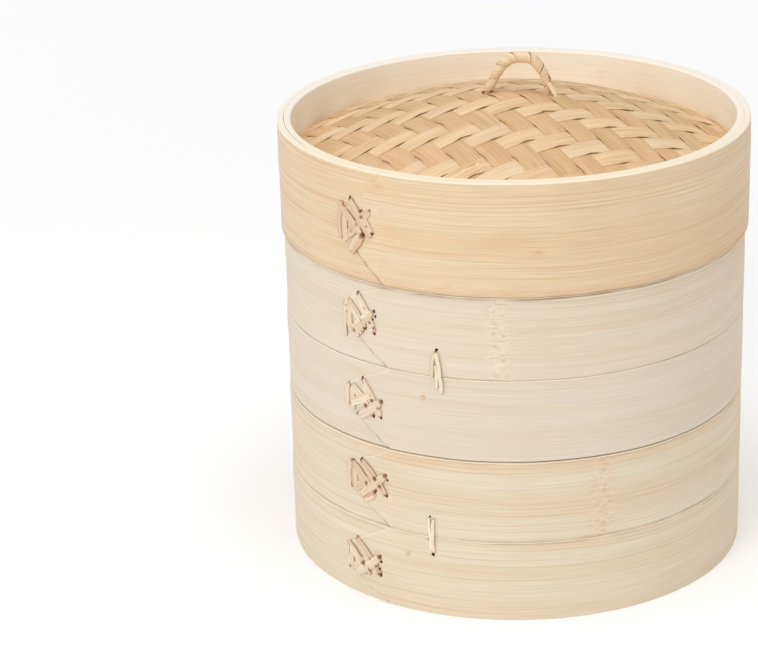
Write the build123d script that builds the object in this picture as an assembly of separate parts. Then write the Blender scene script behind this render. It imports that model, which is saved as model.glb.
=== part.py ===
from build123d import *
import os
from math import sin, cos, tan, radians, degrees, sqrt, atan2

# Two-tier bamboo steamer basket with a woven, domed lid.
# Frame: origin at the centre of the bottom rim, +Z up, -Y is the front, millimetres.
# Azimuth is measured from the front (-Y), positive towards +X.

os.makedirs("parts", exist_ok=True)

# ---------------------------------------------------------------- driving dimensions
TIER_R_OUT = 101.5          # outside radius of a tier: 203 mm across, the 8 inch size
BAND_T = 3.0                # thickness of an outer band
BAND_R_IN = TIER_R_OUT - BAND_T
TIER_PITCH = 73.5           # height that one tier adds to the stack
SEAT_GAP = 0.3              # rim of one tier to the seat of the next
SEAM = 36.5                 # height of the joint between base band and top band
BAND_TOP = TIER_PITCH - SEAT_GAP

HOOP_R_IN = 95.3            # inside radius of the inner hoop
HOOP_R_OUT = 98.4           # outside radius behind the bands
LIP_R_OUT = 98.0            # outside radius of the lip, which slips into the recess above
HOOP_Z0 = 10.0              # the inner hoop starts this far above the bottom: the recess for the lip below
LIP_TOP = 82.5              # top of the lip

RING_T = 3.0                # thickness of the two slat rings
RING_R_OUT = HOOP_R_IN - 0.1
RING_R_IN = RING_R_OUT - RING_T
SUPPORT_Z = (HOOP_Z0, 16.0)
BAR_Z = (16.0, 22.0)        # crossbars
BAR_W = 9.0
BAR_X = 42.0
SLAT_Z = (22.0, 24.5)
SLAT_W = 11.0
SLAT_PITCH = 14.0
SLAT_COUNT = 13
SLAT_R = HOOP_R_IN - 0.2
RETAIN_Z = (24.5, 32.5)

LID_Z0 = 147.0              # bottom of the lid hoop
LID_TOP = 196.0
LID_R_OUT = 103.0
LID_T = 3.2
LID_R_IN = LID_R_OUT - LID_T
RIM_R_OUT = LID_R_IN - 0.2  # inner hoops of the lid
RIM_R_IN = RIM_R_OUT - 3.0
RIM_Z0 = 179.6
BEARING_Z = (156.5, 174.3)

DOME_APEX = 204.5           # outer face at the middle
DOME_RIM = 179.3            # outer face at DOME_RIM_R
DOME_RIM_R = 97.0
DOME_POWER = 1.6            # between a cone (1) and a bowl (2)
SHEET_T = 1.5               # thickness of one woven sheet, measured upright
SHEET_GAP = 0.05
LEAF_T = 0.3                # layer of dry bamboo leaf between the two woven sheets
DOME_EDGE_R = LID_R_IN - 0.4
RIB_W = 9.0
RIB_T = 2.0
RIB_R_END = RIM_R_IN - 0.3

HANDLE_X = 2.0              # middle of the handle loop
HANDLE_Y = 0.5
HANDLE_HALF = 13.2          # half the distance between the legs
CORE_R = 1.35
WRAP_R = 2.0

PEG_R = 1.0
HOLE_R = 1.12
PEG_Z = 26.5
BLIND_PEG_Z = 13.0
TIE_R = 0.85
TIE_TOP = 48.2
TIE_LOW = 29.0

STRIP_W = 3.7               # flat rattan strip of the lacings
STRIP_T = 0.75
PLUG_R = 0.65

LAP_FULL_AZ = -31.5         # where the lap's tongue has the full width of the band
LAP_MID_AZ = -39.3
LAP_TIP_AZ = -44.6
LAP_MID_H = 10.25
LAP_TIP_H = 4.5
LAP_STEP = 0.7              # step from the tongue down to the sheet under it

COUNTER = (Align.CENTER, Align.CENTER, Align.MIN)


def save(shape, node):
    """Writes one node."""
    export_step(shape, "parts/" + node + ".step")


def tube(r_in, r_out, z_lo, z_hi):
    """A plain hoop."""
    h = z_hi - z_lo
    return Pos(0, 0, z_lo) * (Cylinder(r_out, h, align=COUNTER) - Cylinder(r_in, h, align=COUNTER))


def soft_tube(r_in, r_out, z_lo, z_hi, r):
    """A hoop with rounded rims."""
    s = tube(r_in, r_out, z_lo, z_hi)
    return fillet(s.edges().filter_by(GeomType.CIRCLE), r)


def skin(r, az, z):
    """Plane tangent to a cylinder of radius r at an azimuth and height: x to the right, y up, z outwards."""
    a = radians(az)
    return Plane(origin=(r * sin(a), -r * cos(a), z), x_dir=(cos(a), sin(a), 0), z_dir=(sin(a), -cos(a), 0))


def radial(r0, r1, az, z, rad):
    """A round bar along the radius at an azimuth and height, from radius r0 to r1."""
    return skin(r0, az, z).location * Cylinder(rad, r1 - r0, align=COUNTER)


def at(az, x, r):
    """Azimuth of a point x mm to the right of az on a cylinder of radius r."""
    return az + degrees(x / r)


def lap_cut(r_out, z_lo, z_hi, z_mid):
    """The thin layer that is missing beside the lap's tongue: deepest at the tongue, faded out to the left."""
    ecc_e = LAP_STEP / (1 - cos(radians(80)))
    ecc_r = r_out - LAP_STEP + ecc_e
    a = radians(LAP_MID_AZ + 180)
    h = z_hi - z_lo + 2
    outside = Pos(0, 0, z_lo - 1) * (Cylinder(r_out + 2, h, align=COUNTER) - Pos(ecc_e * sin(a), -ecc_e * cos(a), 0) * Cylinder(ecc_r, h, align=COUNTER))
    pts = [(0, 0)]
    for az in (LAP_FULL_AZ, -50, -70, -95, -122):
        t = radians(az)
        pts.append((130 * sin(t), -130 * cos(t)))
    wedge = Pos(0, 0, z_lo - 1) * extrude(make_face(Polyline(*pts, close=True)), h)
    mid = skin(r_out - 3, LAP_MID_AZ, z_mid)

    def x_of(az):
        return r_out * sin(radians(az - LAP_MID_AZ))

    up, down = z_hi - z_mid, z_lo - z_mid
    outline = [
        (x_of(LAP_FULL_AZ), down), (x_of(LAP_FULL_AZ) + 4, down), (x_of(LAP_FULL_AZ) + 4, up), (x_of(LAP_FULL_AZ), up),
        (0, LAP_MID_H), (x_of(LAP_TIP_AZ), LAP_TIP_H), (x_of(LAP_TIP_AZ) - 0.8, 0), (x_of(LAP_TIP_AZ), -LAP_TIP_H), (0, -LAP_MID_H),
    ]
    tongue = mid.location * extrude(make_face(Polyline(*outline, close=True)), 8)
    return (outside & wedge) - tongue


def strip(r_out, az, p0, p1, lift, width=STRIP_W, thick=STRIP_T):
    """A flat strip that lies on the band from p0 to p1 (mm right of az, height)."""
    xm, zm = (p0[0] + p1[0]) / 2, (p0[1] + p1[1]) / 2
    dx, dz = p1[0] - p0[0], p1[1] - p0[1]
    pl = skin(r_out + 0.1 + lift, at(az, xm, r_out), zm)
    box = Box(sqrt(dx * dx + dz * dz) + 1.6, width, thick, align=COUNTER)
    return pl.location * Rot(0, 0, degrees(atan2(dz, dx))) * box


# Lacings: azimuth of the middle, strips as (x0, z0, x1, z1, layer), heights from the middle of the lacing.
LACE = [
    (-7.6, 6.2, -8.0, -7.4, 1),
    (-6.6, 7.6, 3.4, -7.2, 0),
    (-5.6, -7.4, 4.4, 6.6, 1),
    (-1.8, 8.4, 8.4, -2.6, 0),
    (-1.4, -7.8, 8.6, 3.4, 1),
    (2.8, 8.0, 8.8, -6.4, 0),
]


def lacing(r_out, az, z_mid):
    """One rattan lacing: crossing flat strips with their ends let into the band."""
    body = None
    for x0, z0, x1, z1, layer in LACE:
        s = strip(r_out, az, (x0, z_mid + z0), (x1, z_mid + z1), 0.62 * layer)
        body = s if body is None else body + s
        for x, z in ((x0, z0), (x1, z1)):
            body = body + radial(r_out - 2.0, r_out + 0.1 + 0.62 * layer + 0.4, at(az, x, r_out), z_mid + z, PLUG_R)
    return body


def lacing_holes(r_out, az, z_mid):
    """The awl holes of one lacing."""
    holes = []
    for x0, z0, x1, z1, layer in LACE:
        for x, z in ((x0, z0), (x1, z1)):
            holes.append(radial(r_out - 2.2, r_out + 1.0, at(az, x, r_out), z_mid + z, PLUG_R + 0.15))
    return holes


def cut(shape, tools):
    for t in tools:
        shape = shape - t
    return shape


def tie(az, z0):
    """A rattan tie: two strands outside over the seam, two legs through the wall and a strand inside."""
    up, low = z0 + TIE_TOP, z0 + TIE_LOW
    body = radial(HOOP_R_IN - 1.1, TIER_R_OUT + 0.8, az, up, TIE_R)
    body = body + radial(RING_R_IN - 1.0, TIER_R_OUT + 0.8, az, low, TIE_R)
    body = body + strip(TIER_R_OUT, az, (-0.2, up), (-0.7, low + 0.6), 0.0, 1.3, 0.9)
    body = body + strip(TIER_R_OUT, az, (0.3, up), (1.5, low - 1.0), 0.0, 1.3, 0.9)
    # inside: down the hoop, over the retaining ring, and down to the lower leg
    inner = skin(HOOP_R_IN - 1.1, az, 0)
    top_z, ring_z = up + TIE_R, z0 + RETAIN_Z[1]
    body = body + inner.location * Pos(0, ring_z + 0.1, 0) * Box(1.5, top_z - ring_z - 0.1, 0.9, align=(Align.CENTER, Align.MIN, Align.MIN))
    over = skin(RING_R_IN - 1.0, az, 0)
    body = body + over.location * Pos(0, ring_z + 0.1, 0) * Box(1.5, 0.9, HOOP_R_IN - 0.1 - (RING_R_IN - 1.0) - 0.2, align=(Align.CENTER, Align.MIN, Align.MIN))
    body = body + over.location * Pos(0, low - TIE_R, 0) * Box(1.5, ring_z + 1.0 - (low - TIE_R), 0.9, align=(Align.CENTER, Align.MIN, Align.MIN))
    return body


def tie_holes(az, z0):
    return [
        radial(RING_R_IN - 3, TIER_R_OUT + 3, az, z0 + TIE_TOP, TIE_R + 0.2),
        radial(RING_R_IN - 3, TIER_R_OUT + 3, az, z0 + TIE_LOW, TIE_R + 0.2),
    ]


def tier(name, z0, lace_az, lace_z, tie_az, peg_az):
    """One tier. lace_az and lace_z are for the base band and the top band."""
    ties = [tie_az + 120 * i for i in range(3)]
    pegs = [peg_az + 120 * i for i in range(3)]
    blind = [peg_az + 62 + 120 * i for i in range(3)]
    holes = []
    for az in ties:
        holes += tie_holes(az, z0)
    for az in pegs:
        holes.append(radial(RING_R_IN - 3, TIER_R_OUT + 3, az, z0 + PEG_Z, HOLE_R))
    for az in blind:
        holes.append(radial(RING_R_IN - 3, TIER_R_OUT - 0.9, az, z0 + BLIND_PEG_Z, HOLE_R))

    for part, lo, hi, laz, lz in (
        ("base_band", z0, z0 + SEAM, lace_az[0], lace_z[0]),
        ("top_band", z0 + SEAM, z0 + BAND_TOP, lace_az[1], lace_z[1]),
    ):
        band = soft_tube(BAND_R_IN, TIER_R_OUT, lo, hi, 0.45) - lap_cut(TIER_R_OUT, lo, hi, lz)
        band = cut(band, lacing_holes(TIER_R_OUT, laz, lz))
        band = cut(band, holes)
        save(band, name + "_" + part)
        save(lacing(TIER_R_OUT, laz, lz), name + "_" + part.replace("band", "lacing"))

    hoop = tube(HOOP_R_IN, HOOP_R_OUT, z0 + HOOP_Z0, z0 + BAND_TOP)
    lip = tube(HOOP_R_IN, LIP_R_OUT, z0 + BAND_TOP, z0 + LIP_TOP)
    lip = fillet(lip.edges().filter_by(GeomType.CIRCLE).group_by(Axis.Z)[-1], 0.8)
    save(cut(hoop + lip, holes), name + "_inner_hoop")

    save(cut(tube(RING_R_IN, RING_R_OUT, z0 + SUPPORT_Z[0], z0 + SUPPORT_Z[1]), holes), name + "_support_ring")
    ring = soft_tube(RING_R_IN, RING_R_OUT, z0 + RETAIN_Z[0], z0 + RETAIN_Z[1], 0.4)
    save(cut(ring, holes), name + "_retaining_ring")

    rim = Pos(0, 0, z0) * Cylinder(SLAT_R, 60, align=COUNTER)
    for side, x in (("left", -BAR_X), ("right", BAR_X)):
        bar = Pos(x, 0, z0 + BAR_Z[0]) * Box(BAR_W, 200, BAR_Z[1] - BAR_Z[0], align=COUNTER)
        save(bar & rim, name + "_crossbar_" + side)
    for i in range(SLAT_COUNT):
        y = -(i - (SLAT_COUNT - 1) / 2) * SLAT_PITCH
        slat = Pos(0, y, z0 + SLAT_Z[0]) * Box(200, SLAT_W, SLAT_Z[1] - SLAT_Z[0], align=COUNTER)
        slat = fillet(slat.edges().filter_by(Axis.X).group_by(Axis.Z)[-1], 0.7)
        save(slat & rim, name + "_slat_%02d" % (i + 1))

    save(Compound(children=[tie(az, z0) for az in ties]), name + "_ties")
    solids = [radial(RING_R_IN - 0.2, TIER_R_OUT + 0.15, az, z0 + PEG_Z, PEG_R) for az in pegs]
    solids += [radial(RING_R_IN - 0.2, TIER_R_OUT - 1.1, az, z0 + BLIND_PEG_Z, PEG_R) for az in blind]
    save(Compound(children=solids), name + "_pegs")


tier("lower_tier", 0.0, (-40.3, -39.0), (18.2, 56.3), -20.6, -27.0)
tier("upper_tier", TIER_PITCH, (-39.0, -39.3), (93.0, 131.0), -18.4, -22.2)


# ---------------------------------------------------------------- lid
def dome_z(r):
    """Height of the dome's outer face at a distance from the axis."""
    return DOME_RIM + (DOME_APEX - DOME_RIM) * (1 - (r / DOME_RIM_R) ** DOME_POWER)


def dome_slope(r):
    return -(DOME_APEX - DOME_RIM) * DOME_POWER / DOME_RIM_R * (r / DOME_RIM_R) ** (DOME_POWER - 1)


def dome_shell(down_0, down_1, r_edge):
    """A domed sheet, from down_0 to down_1 below the dome's outer face, out to r_edge."""
    rs = [r_edge * k / 8 for k in range(9)]
    top = Spline(*[(r, dome_z(r) - down_0) for r in rs], tangents=[(1, 0), (1, dome_slope(r_edge))])
    low = Spline(*[(r, dome_z(r) - down_1) for r in rs], tangents=[(1, 0), (1, dome_slope(r_edge))])
    wire = Wire([*top.edges(), *low.edges(), Line(top @ 0, low @ 0).edge(), Line(top @ 1, low @ 1).edge()])
    face = Plane.XZ * make_face(wire)
    return revolve(face, axis=Axis.Z)


cap_top = 0.0
cap_low = cap_top + SHEET_T
leaf_top = cap_low + SHEET_GAP
leaf_low = leaf_top + LEAF_T
lining_top = leaf_low + SHEET_GAP
lining_low = lining_top + SHEET_T
rib1_top = lining_low + SHEET_GAP
rib1_low = rib1_top + RIB_T
rib2_top = rib1_low + SHEET_GAP
rib2_low = rib2_top + RIB_T

lid_peg_az = [5.3, 125.3, 245.3]
rim_peg_az = [35.0, 155.0, 275.0]
LID_PEG_Z = 165.8
RIM_PEG_Z = 188.0
lid_holes = [radial(RIM_R_IN - 3, LID_R_OUT + 3, az, LID_PEG_Z, HOLE_R) for az in lid_peg_az]
lid_holes += [radial(RIM_R_IN - 3, LID_R_OUT - 0.9, az, RIM_PEG_Z, HOLE_R) for az in rim_peg_az]
LID_LACE_AZ, LID_LACE_Z = -39.3, 170.6

hoop = soft_tube(LID_R_IN, LID_R_OUT, LID_Z0, LID_TOP, 0.6) - lap_cut(LID_R_OUT, LID_Z0, LID_TOP, LID_LACE_Z)
hoop = cut(hoop, lacing_holes(LID_R_OUT, LID_LACE_AZ, LID_LACE_Z))
save(cut(hoop, lid_holes), "lid_hoop")
save(lacing(LID_R_OUT, LID_LACE_AZ, LID_LACE_Z), "lid_lacing")
save(cut(soft_tube(RIM_R_IN, RIM_R_OUT, RIM_Z0, LID_TOP, 0.6), lid_holes), "lid_rim_hoop")
save(cut(soft_tube(RIM_R_IN, RIM_R_OUT, BEARING_Z[0], BEARING_Z[1], 0.4), lid_holes), "lid_bearing_hoop")

legs = [(HANDLE_X - HANDLE_HALF, HANDLE_Y), (HANDLE_X + HANDLE_HALF, HANDLE_Y)]
leg_holes = [Pos(x, y, 180) * Cylinder(CORE_R + 0.15, 30, align=COUNTER) for x, y in legs]
save(cut(dome_shell(cap_top, cap_low, DOME_EDGE_R), leg_holes), "lid_woven_cap")
save(cut(dome_shell(leaf_top, leaf_low, DOME_EDGE_R), leg_holes), "lid_leaf_layer")
save(cut(dome_shell(lining_top, lining_low, DOME_EDGE_R), leg_holes), "lid_cap_lining")
rib_long = dome_shell(rib1_top, rib1_low, RIB_R_END) & (Pos(0, HANDLE_Y, 150) * Box(220, RIB_W, 80, align=COUNTER))
save(cut(rib_long, leg_holes), "lid_rib_long")
rib_cross = dome_shell(rib2_top, rib2_low, RIB_R_END) & (Pos(0, 0, 150) * Box(RIB_W, 220, 80, align=COUNTER))
save(rib_cross, "lid_rib_cross")
solids = [radial(RIM_R_IN - 0.2, LID_R_OUT + 0.15, az, LID_PEG_Z, PEG_R) for az in lid_peg_az]
solids += [radial(RIM_R_IN - 0.2, LID_R_OUT - 1.1, az, RIM_PEG_Z, PEG_R) for az in rim_peg_az]
save(Compound(children=solids), "lid_pegs")

# Handle: an upright loop in the plane y = HANDLE_Y, given as x from its middle and height above the dome's top there.
base_z = dome_z(HANDLE_HALF)
loop = [
    (-HANDLE_HALF, -7.6), (-HANDLE_HALF, 1.4), (-7.6, 12.6), (-0.6, 16.9), (6.2, 17.0), (11.2, 10.4), (HANDLE_HALF, 2.2), (HANDLE_HALF, -7.6),
]


def corner_radii(points):
    """The largest tangent arc at each corner that leaves room for its neighbours."""
    radii = []
    for a, b, c in zip(points, points[1:], points[2:]):
        u, v = Vector(b[0] - a[0], b[1] - a[1]), Vector(c[0] - b[0], c[1] - b[1])
        turn = radians(u.get_angle(v))
        radii.append(0.45 * min(u.length, v.length) / tan(turn / 2))
    return radii


def loop_wire(points):
    pts = [(HANDLE_X + x, HANDLE_Y, base_z + z) for x, z in points]
    return FilletPolyline(*pts, radius=corner_radii(points))


def loop_tube(points, r):
    wire = loop_wire(points)
    start = Plane(origin=wire @ 0, z_dir=wire % 0)
    return sweep(start * Circle(r), path=wire)


core = loop_tube(loop, CORE_R)
for x, y in legs:
    core = core + Pos(x, y, base_z - 8.2) * Sphere(2.6)
save(core, "lid_handle_core")

# the wrap follows the core above the dome
radii = corner_radii(loop)
full = loop_tube(loop, WRAP_R) - loop_tube(loop, CORE_R + 0.1)
above = Pos(HANDLE_X, HANDLE_Y, base_z + 0.75) * Box(60, 20, 60, align=COUNTER)
save(full & above, "lid_handle_wrap")
print("handle corner radii", [round(r, 2) for r in radii])
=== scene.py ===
import math
import bpy
import numpy as np
from mathutils import Matrix, Vector


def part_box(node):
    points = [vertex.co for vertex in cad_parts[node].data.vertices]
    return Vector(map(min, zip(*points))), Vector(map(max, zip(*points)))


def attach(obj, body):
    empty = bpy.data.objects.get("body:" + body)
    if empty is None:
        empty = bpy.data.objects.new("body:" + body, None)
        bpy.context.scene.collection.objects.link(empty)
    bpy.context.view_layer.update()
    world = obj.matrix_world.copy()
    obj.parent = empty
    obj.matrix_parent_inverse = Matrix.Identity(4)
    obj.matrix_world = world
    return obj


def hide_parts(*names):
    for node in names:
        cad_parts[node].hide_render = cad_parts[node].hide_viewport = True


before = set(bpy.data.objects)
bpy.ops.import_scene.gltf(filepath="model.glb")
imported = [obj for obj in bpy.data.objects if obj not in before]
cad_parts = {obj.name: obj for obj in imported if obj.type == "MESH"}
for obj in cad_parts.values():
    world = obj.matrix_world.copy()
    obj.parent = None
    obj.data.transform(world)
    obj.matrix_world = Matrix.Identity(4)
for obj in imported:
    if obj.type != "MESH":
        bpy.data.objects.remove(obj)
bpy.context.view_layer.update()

MM = 0.001
rng = np.random.default_rng(7)

# ---------------------------------------------------------------- dimensions, mm, from part.py and the frame
TIER_PITCH = 73.5
BAND_R_OUT, BAND_R_IN = 101.5, 98.5
LID_R_OUT, LID_R_IN = 103.0, 99.8
SEAM = 36.5
A_STRIP, B_STRIP = np.array([8.87, 5.17]), np.array([4.63, -7.62])
WEAVE_O = np.array([-19.16, -56.57])


def dome_z(r):
    return 179.3 + 25.2 * (1 - (np.abs(r) / 97.0) ** 1.6)


def smooth(x):
    x = np.clip(x, 0.0, 1.0)
    return x * x * x * (x * (6 * x - 15) + 10)


def waves(seed, orders=(2, 3, 5, 8, 13, 21), amp=1.0):
    """A smooth periodic function of an azimuth in degrees, about -amp to amp."""
    g = np.random.default_rng(seed)
    a = np.array([1 / (1 + 0.25 * i) for i in range(len(orders))])
    a = a / a.sum() * 1.6 * amp
    ph = g.uniform(0, 2 * math.pi, len(orders))

    def f(az):
        az = np.radians(np.asarray(az, float))
        return sum(ak * np.sin(k * az + p) for ak, k, p in zip(a, orders, ph))

    return f


# ---------------------------------------------------------------- node material helpers
class Nodes:
    def __init__(self, name):
        self.mat = bpy.data.materials.new(name)
        self.mat.use_nodes = True
        self.t = self.mat.node_tree
        self.t.nodes.clear()
        self.out = self.t.nodes.new("ShaderNodeOutputMaterial")
        self.bsdf = self.t.nodes.new("ShaderNodeBsdfPrincipled")
        self.t.links.new(self.bsdf.outputs[0], self.out.inputs[0])

    def new(self, kind, **kw):
        n = self.t.nodes.new(kind)
        for k, v in kw.items():
            setattr(n, k, v)
        return n

    def put(self, socket, value):
        if isinstance(value, bpy.types.NodeSocket):
            self.t.links.new(value, socket)
        else:
            socket.default_value = value

    def uv(self, layer):
        return self.new("ShaderNodeUVMap", uv_map=layer).outputs[0]

    def obj(self):
        return self.new("ShaderNodeTexCoord").outputs["Object"]

    def vmath(self, op, a, b=None):
        n = self.new("ShaderNodeVectorMath", operation=op)
        self.put(n.inputs[0], a)
        if b is not None:
            self.put(n.inputs[1], b)
        return n.outputs[0]

    def scaled(self, v, s):
        return self.vmath("MULTIPLY", v, s)

    def math(self, op, a, b=0.0, clamp=False):
        n = self.new("ShaderNodeMath", operation=op, use_clamp=clamp)
        self.put(n.inputs[0], a)
        self.put(n.inputs[1], b)
        return n.outputs[0]

    def split(self, v):
        n = self.new("ShaderNodeSeparateXYZ")
        self.put(n.inputs[0], v)
        return n.outputs

    def noise(self, v, scale=1.0, detail=2.0, rough=0.5, distort=0.0, color=False):
        n = self.new("ShaderNodeTexNoise")
        self.put(n.inputs["Vector"], v)
        n.inputs["Scale"].default_value = scale
        n.inputs["Detail"].default_value = detail
        n.inputs["Roughness"].default_value = rough
        n.inputs["Distortion"].default_value = distort
        return n.outputs["Color" if color else "Fac"]

    def span(self, v, a, b, lo=0.0, hi=1.0):
        n = self.new("ShaderNodeMapRange", clamp=True)
        n.interpolation_type = "SMOOTHSTEP"
        self.put(n.inputs[0], v)
        for i, x in zip((1, 2, 3, 4), (a, b, lo, hi)):
            n.inputs[i].default_value = x
        return n.outputs[0]

    def mix(self, fac, a, b, mode="MIX"):
        n = self.new("ShaderNodeMix", data_type="RGBA", blend_type=mode)
        self.put(n.inputs[0], fac)
        self.put(n.inputs[6], a)
        self.put(n.inputs[7], b)
        return n.outputs[2]

    def ramp(self, fac, stops):
        n = self.new("ShaderNodeValToRGB")
        r = n.color_ramp
        while len(r.elements) < len(stops):
            r.elements.new(0.5)
        for e, (p, c) in zip(r.elements, stops):
            e.position = p
            e.color = c
        self.put(n.inputs[0], fac)
        return n.outputs[0]

    def bump(self, height, strength, distance, normal=None):
        n = self.new("ShaderNodeBump")
        n.inputs["Strength"].default_value = strength
        n.inputs["Distance"].default_value = distance
        self.put(n.inputs["Height"], height)
        if normal is not None:
            self.put(n.inputs["Normal"], normal)
        return n.outputs[0]


def lin(r, g, b):
    """sRGB 0-255 to linear RGBA."""
    out = []
    for c in (r, g, b):
        c = c / 255
        out.append(c / 12.92 if c <= 0.04045 else ((c + 0.055) / 1.055) ** 2.4)
    return (*out, 1.0)


def bamboo(name, base, streak, deep, rim=None, node=None, stain=None, streaks=0.5, orange=0.3, fine=0.25, blotch=0.35, fleck=0.35, lines=0.42, rough=0.6, wide=0.6, rim_back_painted_light=None):
    """Split bamboo with long fibres. UV fib runs along and across the fibres in metres; aux is (edge mask, which also
    carries painted highlights; dark mask, which carries painted shade with some dust); mark is (node scar, stain)."""
    m = Nodes(name)
    rim = rim or base
    node = node or base
    stain = stain or deep
    fib = m.uv("fib")
    aux = m.split(m.uv("aux"))
    mark = m.split(m.uv("mark"))
    # the fibres wrinkle at a node scar
    wr = m.noise(m.scaled(fib, (420, 330, 1)), detail=2, color=True)
    wr = m.vmath("SUBTRACT", wr, (0.5, 0.5, 0.5))
    amount = m.math("MULTIPLY", mark[0], 0.0032)
    n = m.new("ShaderNodeVectorMath", operation="SCALE")
    m.put(n.inputs[0], wr)
    m.put(n.inputs["Scale"], amount)
    # long slow waver of the grain
    wv = m.vmath("SUBTRACT", m.noise(m.scaled(fib, (9, 26, 1)), detail=1, color=True), (0.5, 0.5, 0.5))
    wv = m.scaled(wv, (0.0, 0.0035, 0.0))
    v = m.vmath("ADD", m.vmath("ADD", fib, n.outputs[0]), wv)
    broad = m.noise(m.scaled(v, (2.2, 95, 1)), detail=3, rough=0.6)
    mid = m.noise(m.scaled(v, (6.5, 560, 1)), detail=4, rough=0.62)
    thin = m.noise(m.scaled(v, (16, 1300, 1)), detail=3, rough=0.6)
    hair = m.noise(m.scaled(v, (42, 3600, 1)), detail=2, rough=0.6)
    blot = m.noise(m.scaled(v, (11, 17, 1)), detail=3, rough=0.55)
    col = m.mix(m.span(broad, 0.34, 0.70, 0.0, wide), base, streak)
    col = m.mix(m.math("MULTIPLY", m.span(mid, 0.5, 0.72), streaks), col, streak)
    pale = tuple(min(1.0, c * 1.07) for c in base[:3]) + (1.0,)
    col = m.mix(m.math("MULTIPLY", m.span(thin, 0.52, 0.75), streaks * 0.6), col, pale)
    og = m.math("MULTIPLY", m.span(mid, 0.56, 0.8), m.span(blot, 0.45, 0.7))
    col = m.mix(m.math("MULTIPLY", og, orange), col, deep)
    col = m.mix(m.math("MULTIPLY", m.span(blot, 0.5, 0.85), blotch), col, deep)
    # dark vascular lines, about a millimetre apart
    vasc = m.noise(m.scaled(v, (5.5, 980, 1)), detail=1, rough=0.5)
    vasc2 = m.noise(m.scaled(v, (9, 1700, 1)), detail=1, rough=0.5)
    ln = m.math("ADD", m.math("MULTIPLY", m.span(vasc, 0.53, 0.68), lines), m.math("MULTIPLY", m.span(vasc2, 0.55, 0.7), lines * 0.6), clamp=True)
    col = m.mix(ln, col, deep)
    # fine fibre lines
    f = m.span(hair, 0.3, 0.7, 1.0 - fine * 0.5, 1.0 + fine * 0.22)
    col = m.mix(1.0, col, m.new_rgb(f), "MULTIPLY")
    # short dark flecks along the fibres
    fl = m.span(m.noise(m.scaled(v, (95, 1700, 1)), detail=1), 0.70, 0.80)
    gate = m.span(m.noise(m.scaled(v, (14, 60, 1)), detail=1), 0.48, 0.66)
    fl = m.math("MULTIPLY", m.math("MULTIPLY", fl, gate), fleck)
    dark = tuple(c * 0.45 for c in deep[:3]) + (1.0,)
    col = m.mix(fl, col, dark)
    # node scar and stains
    nm = m.math("MULTIPLY", mark[0], m.span(m.noise(m.scaled(fib, (520, 300, 1)), detail=2), 0.25, 0.75, 0.15, 0.8))
    col = m.mix(nm, col, node)
    ripple = m.span(m.noise(m.scaled(v, (250, 1250, 1)), detail=1), 0.5, 0.66)
    # shine: a painted sheen on the node scar
    shine = m.span(m.noise(m.scaled(v, (230, 1100, 1)), detail=1), 0.52, 0.68)
    col = m.mix(m.math("MULTIPLY", m.math("MULTIPLY", shine, mark[0]), 0.3), col, tuple(min(1.0, c * 1.18) for c in base[:3]) + (1.0,))
    col = m.mix(m.math("MULTIPLY", m.math("MULTIPLY", ripple, mark[0]), 0.55), col, tuple(c * 0.86 for c in deep[:3]) + (1.0,))
    st = m.math("MULTIPLY", mark[1], m.span(m.noise(m.scaled(v, (90, 420, 1)), detail=2), 0.25, 0.7, 0.3, 1.0))
    col = m.mix(st, col, stain)
    # cut edges, with the plies of the fibre bundles as tiny dots
    pores = m.span(m.noise(m.scaled(fib, (900, 2600, 1)), detail=1), 0.55, 0.8)
    top = rim
    # painted light: towards the back of the hoop the cut top edge turns whiter, for how the light falls there
    if rim_back_painted_light:
        top = m.mix(m.span(m.split(m.obj())[1], -0.075, 0.03), rim, rim_back_painted_light)
    edge = m.mix(m.math("MULTIPLY", pores, 0.16), top, deep)
    col = m.mix(aux[0], col, edge)
    # the dark mask: painted shade in creases, seams and holes, with some dust in the creases and seams
    col = m.mix(m.span(aux[1], 0.0, 0.6), col, (0.27, 0.135, 0.06, 1.0))
    col = m.mix(m.span(aux[1], 0.6, 1.0), col, (0.03, 0.012, 0.005, 1.0))
    m.put(m.bsdf.inputs["Base Color"], col)
    r = m.span(m.math("ADD", m.math("MULTIPLY", mid, 0.6), m.math("MULTIPLY", hair, 0.4)), 0.3, 0.7, rough - 0.09, rough + 0.12)
    m.put(m.bsdf.inputs["Roughness"], r)
    m.bsdf.inputs["Specular IOR Level"].default_value = 0.34
    m.bsdf.inputs["Sheen Weight"].default_value = 0.04
    h = m.math("ADD", m.math("MULTIPLY", thin, 0.55), m.math("MULTIPLY", hair, 0.3))
    h = m.math("ADD", h, m.math("MULTIPLY", mid, 0.6))
    h = m.math("ADD", h, m.math("MULTIPLY", m.math("MULTIPLY", ripple, mark[0]), 1.0))
    m.put(m.bsdf.inputs["Normal"], m.bump(h, 0.5, 0.00016))
    return m.mat


def _new_rgb(self, value):
    n = self.new("ShaderNodeCombineColor")
    for i in range(3):
        self.put(n.inputs[i], value)
    return n.outputs[0]


Nodes.new_rgb = _new_rgb


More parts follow.
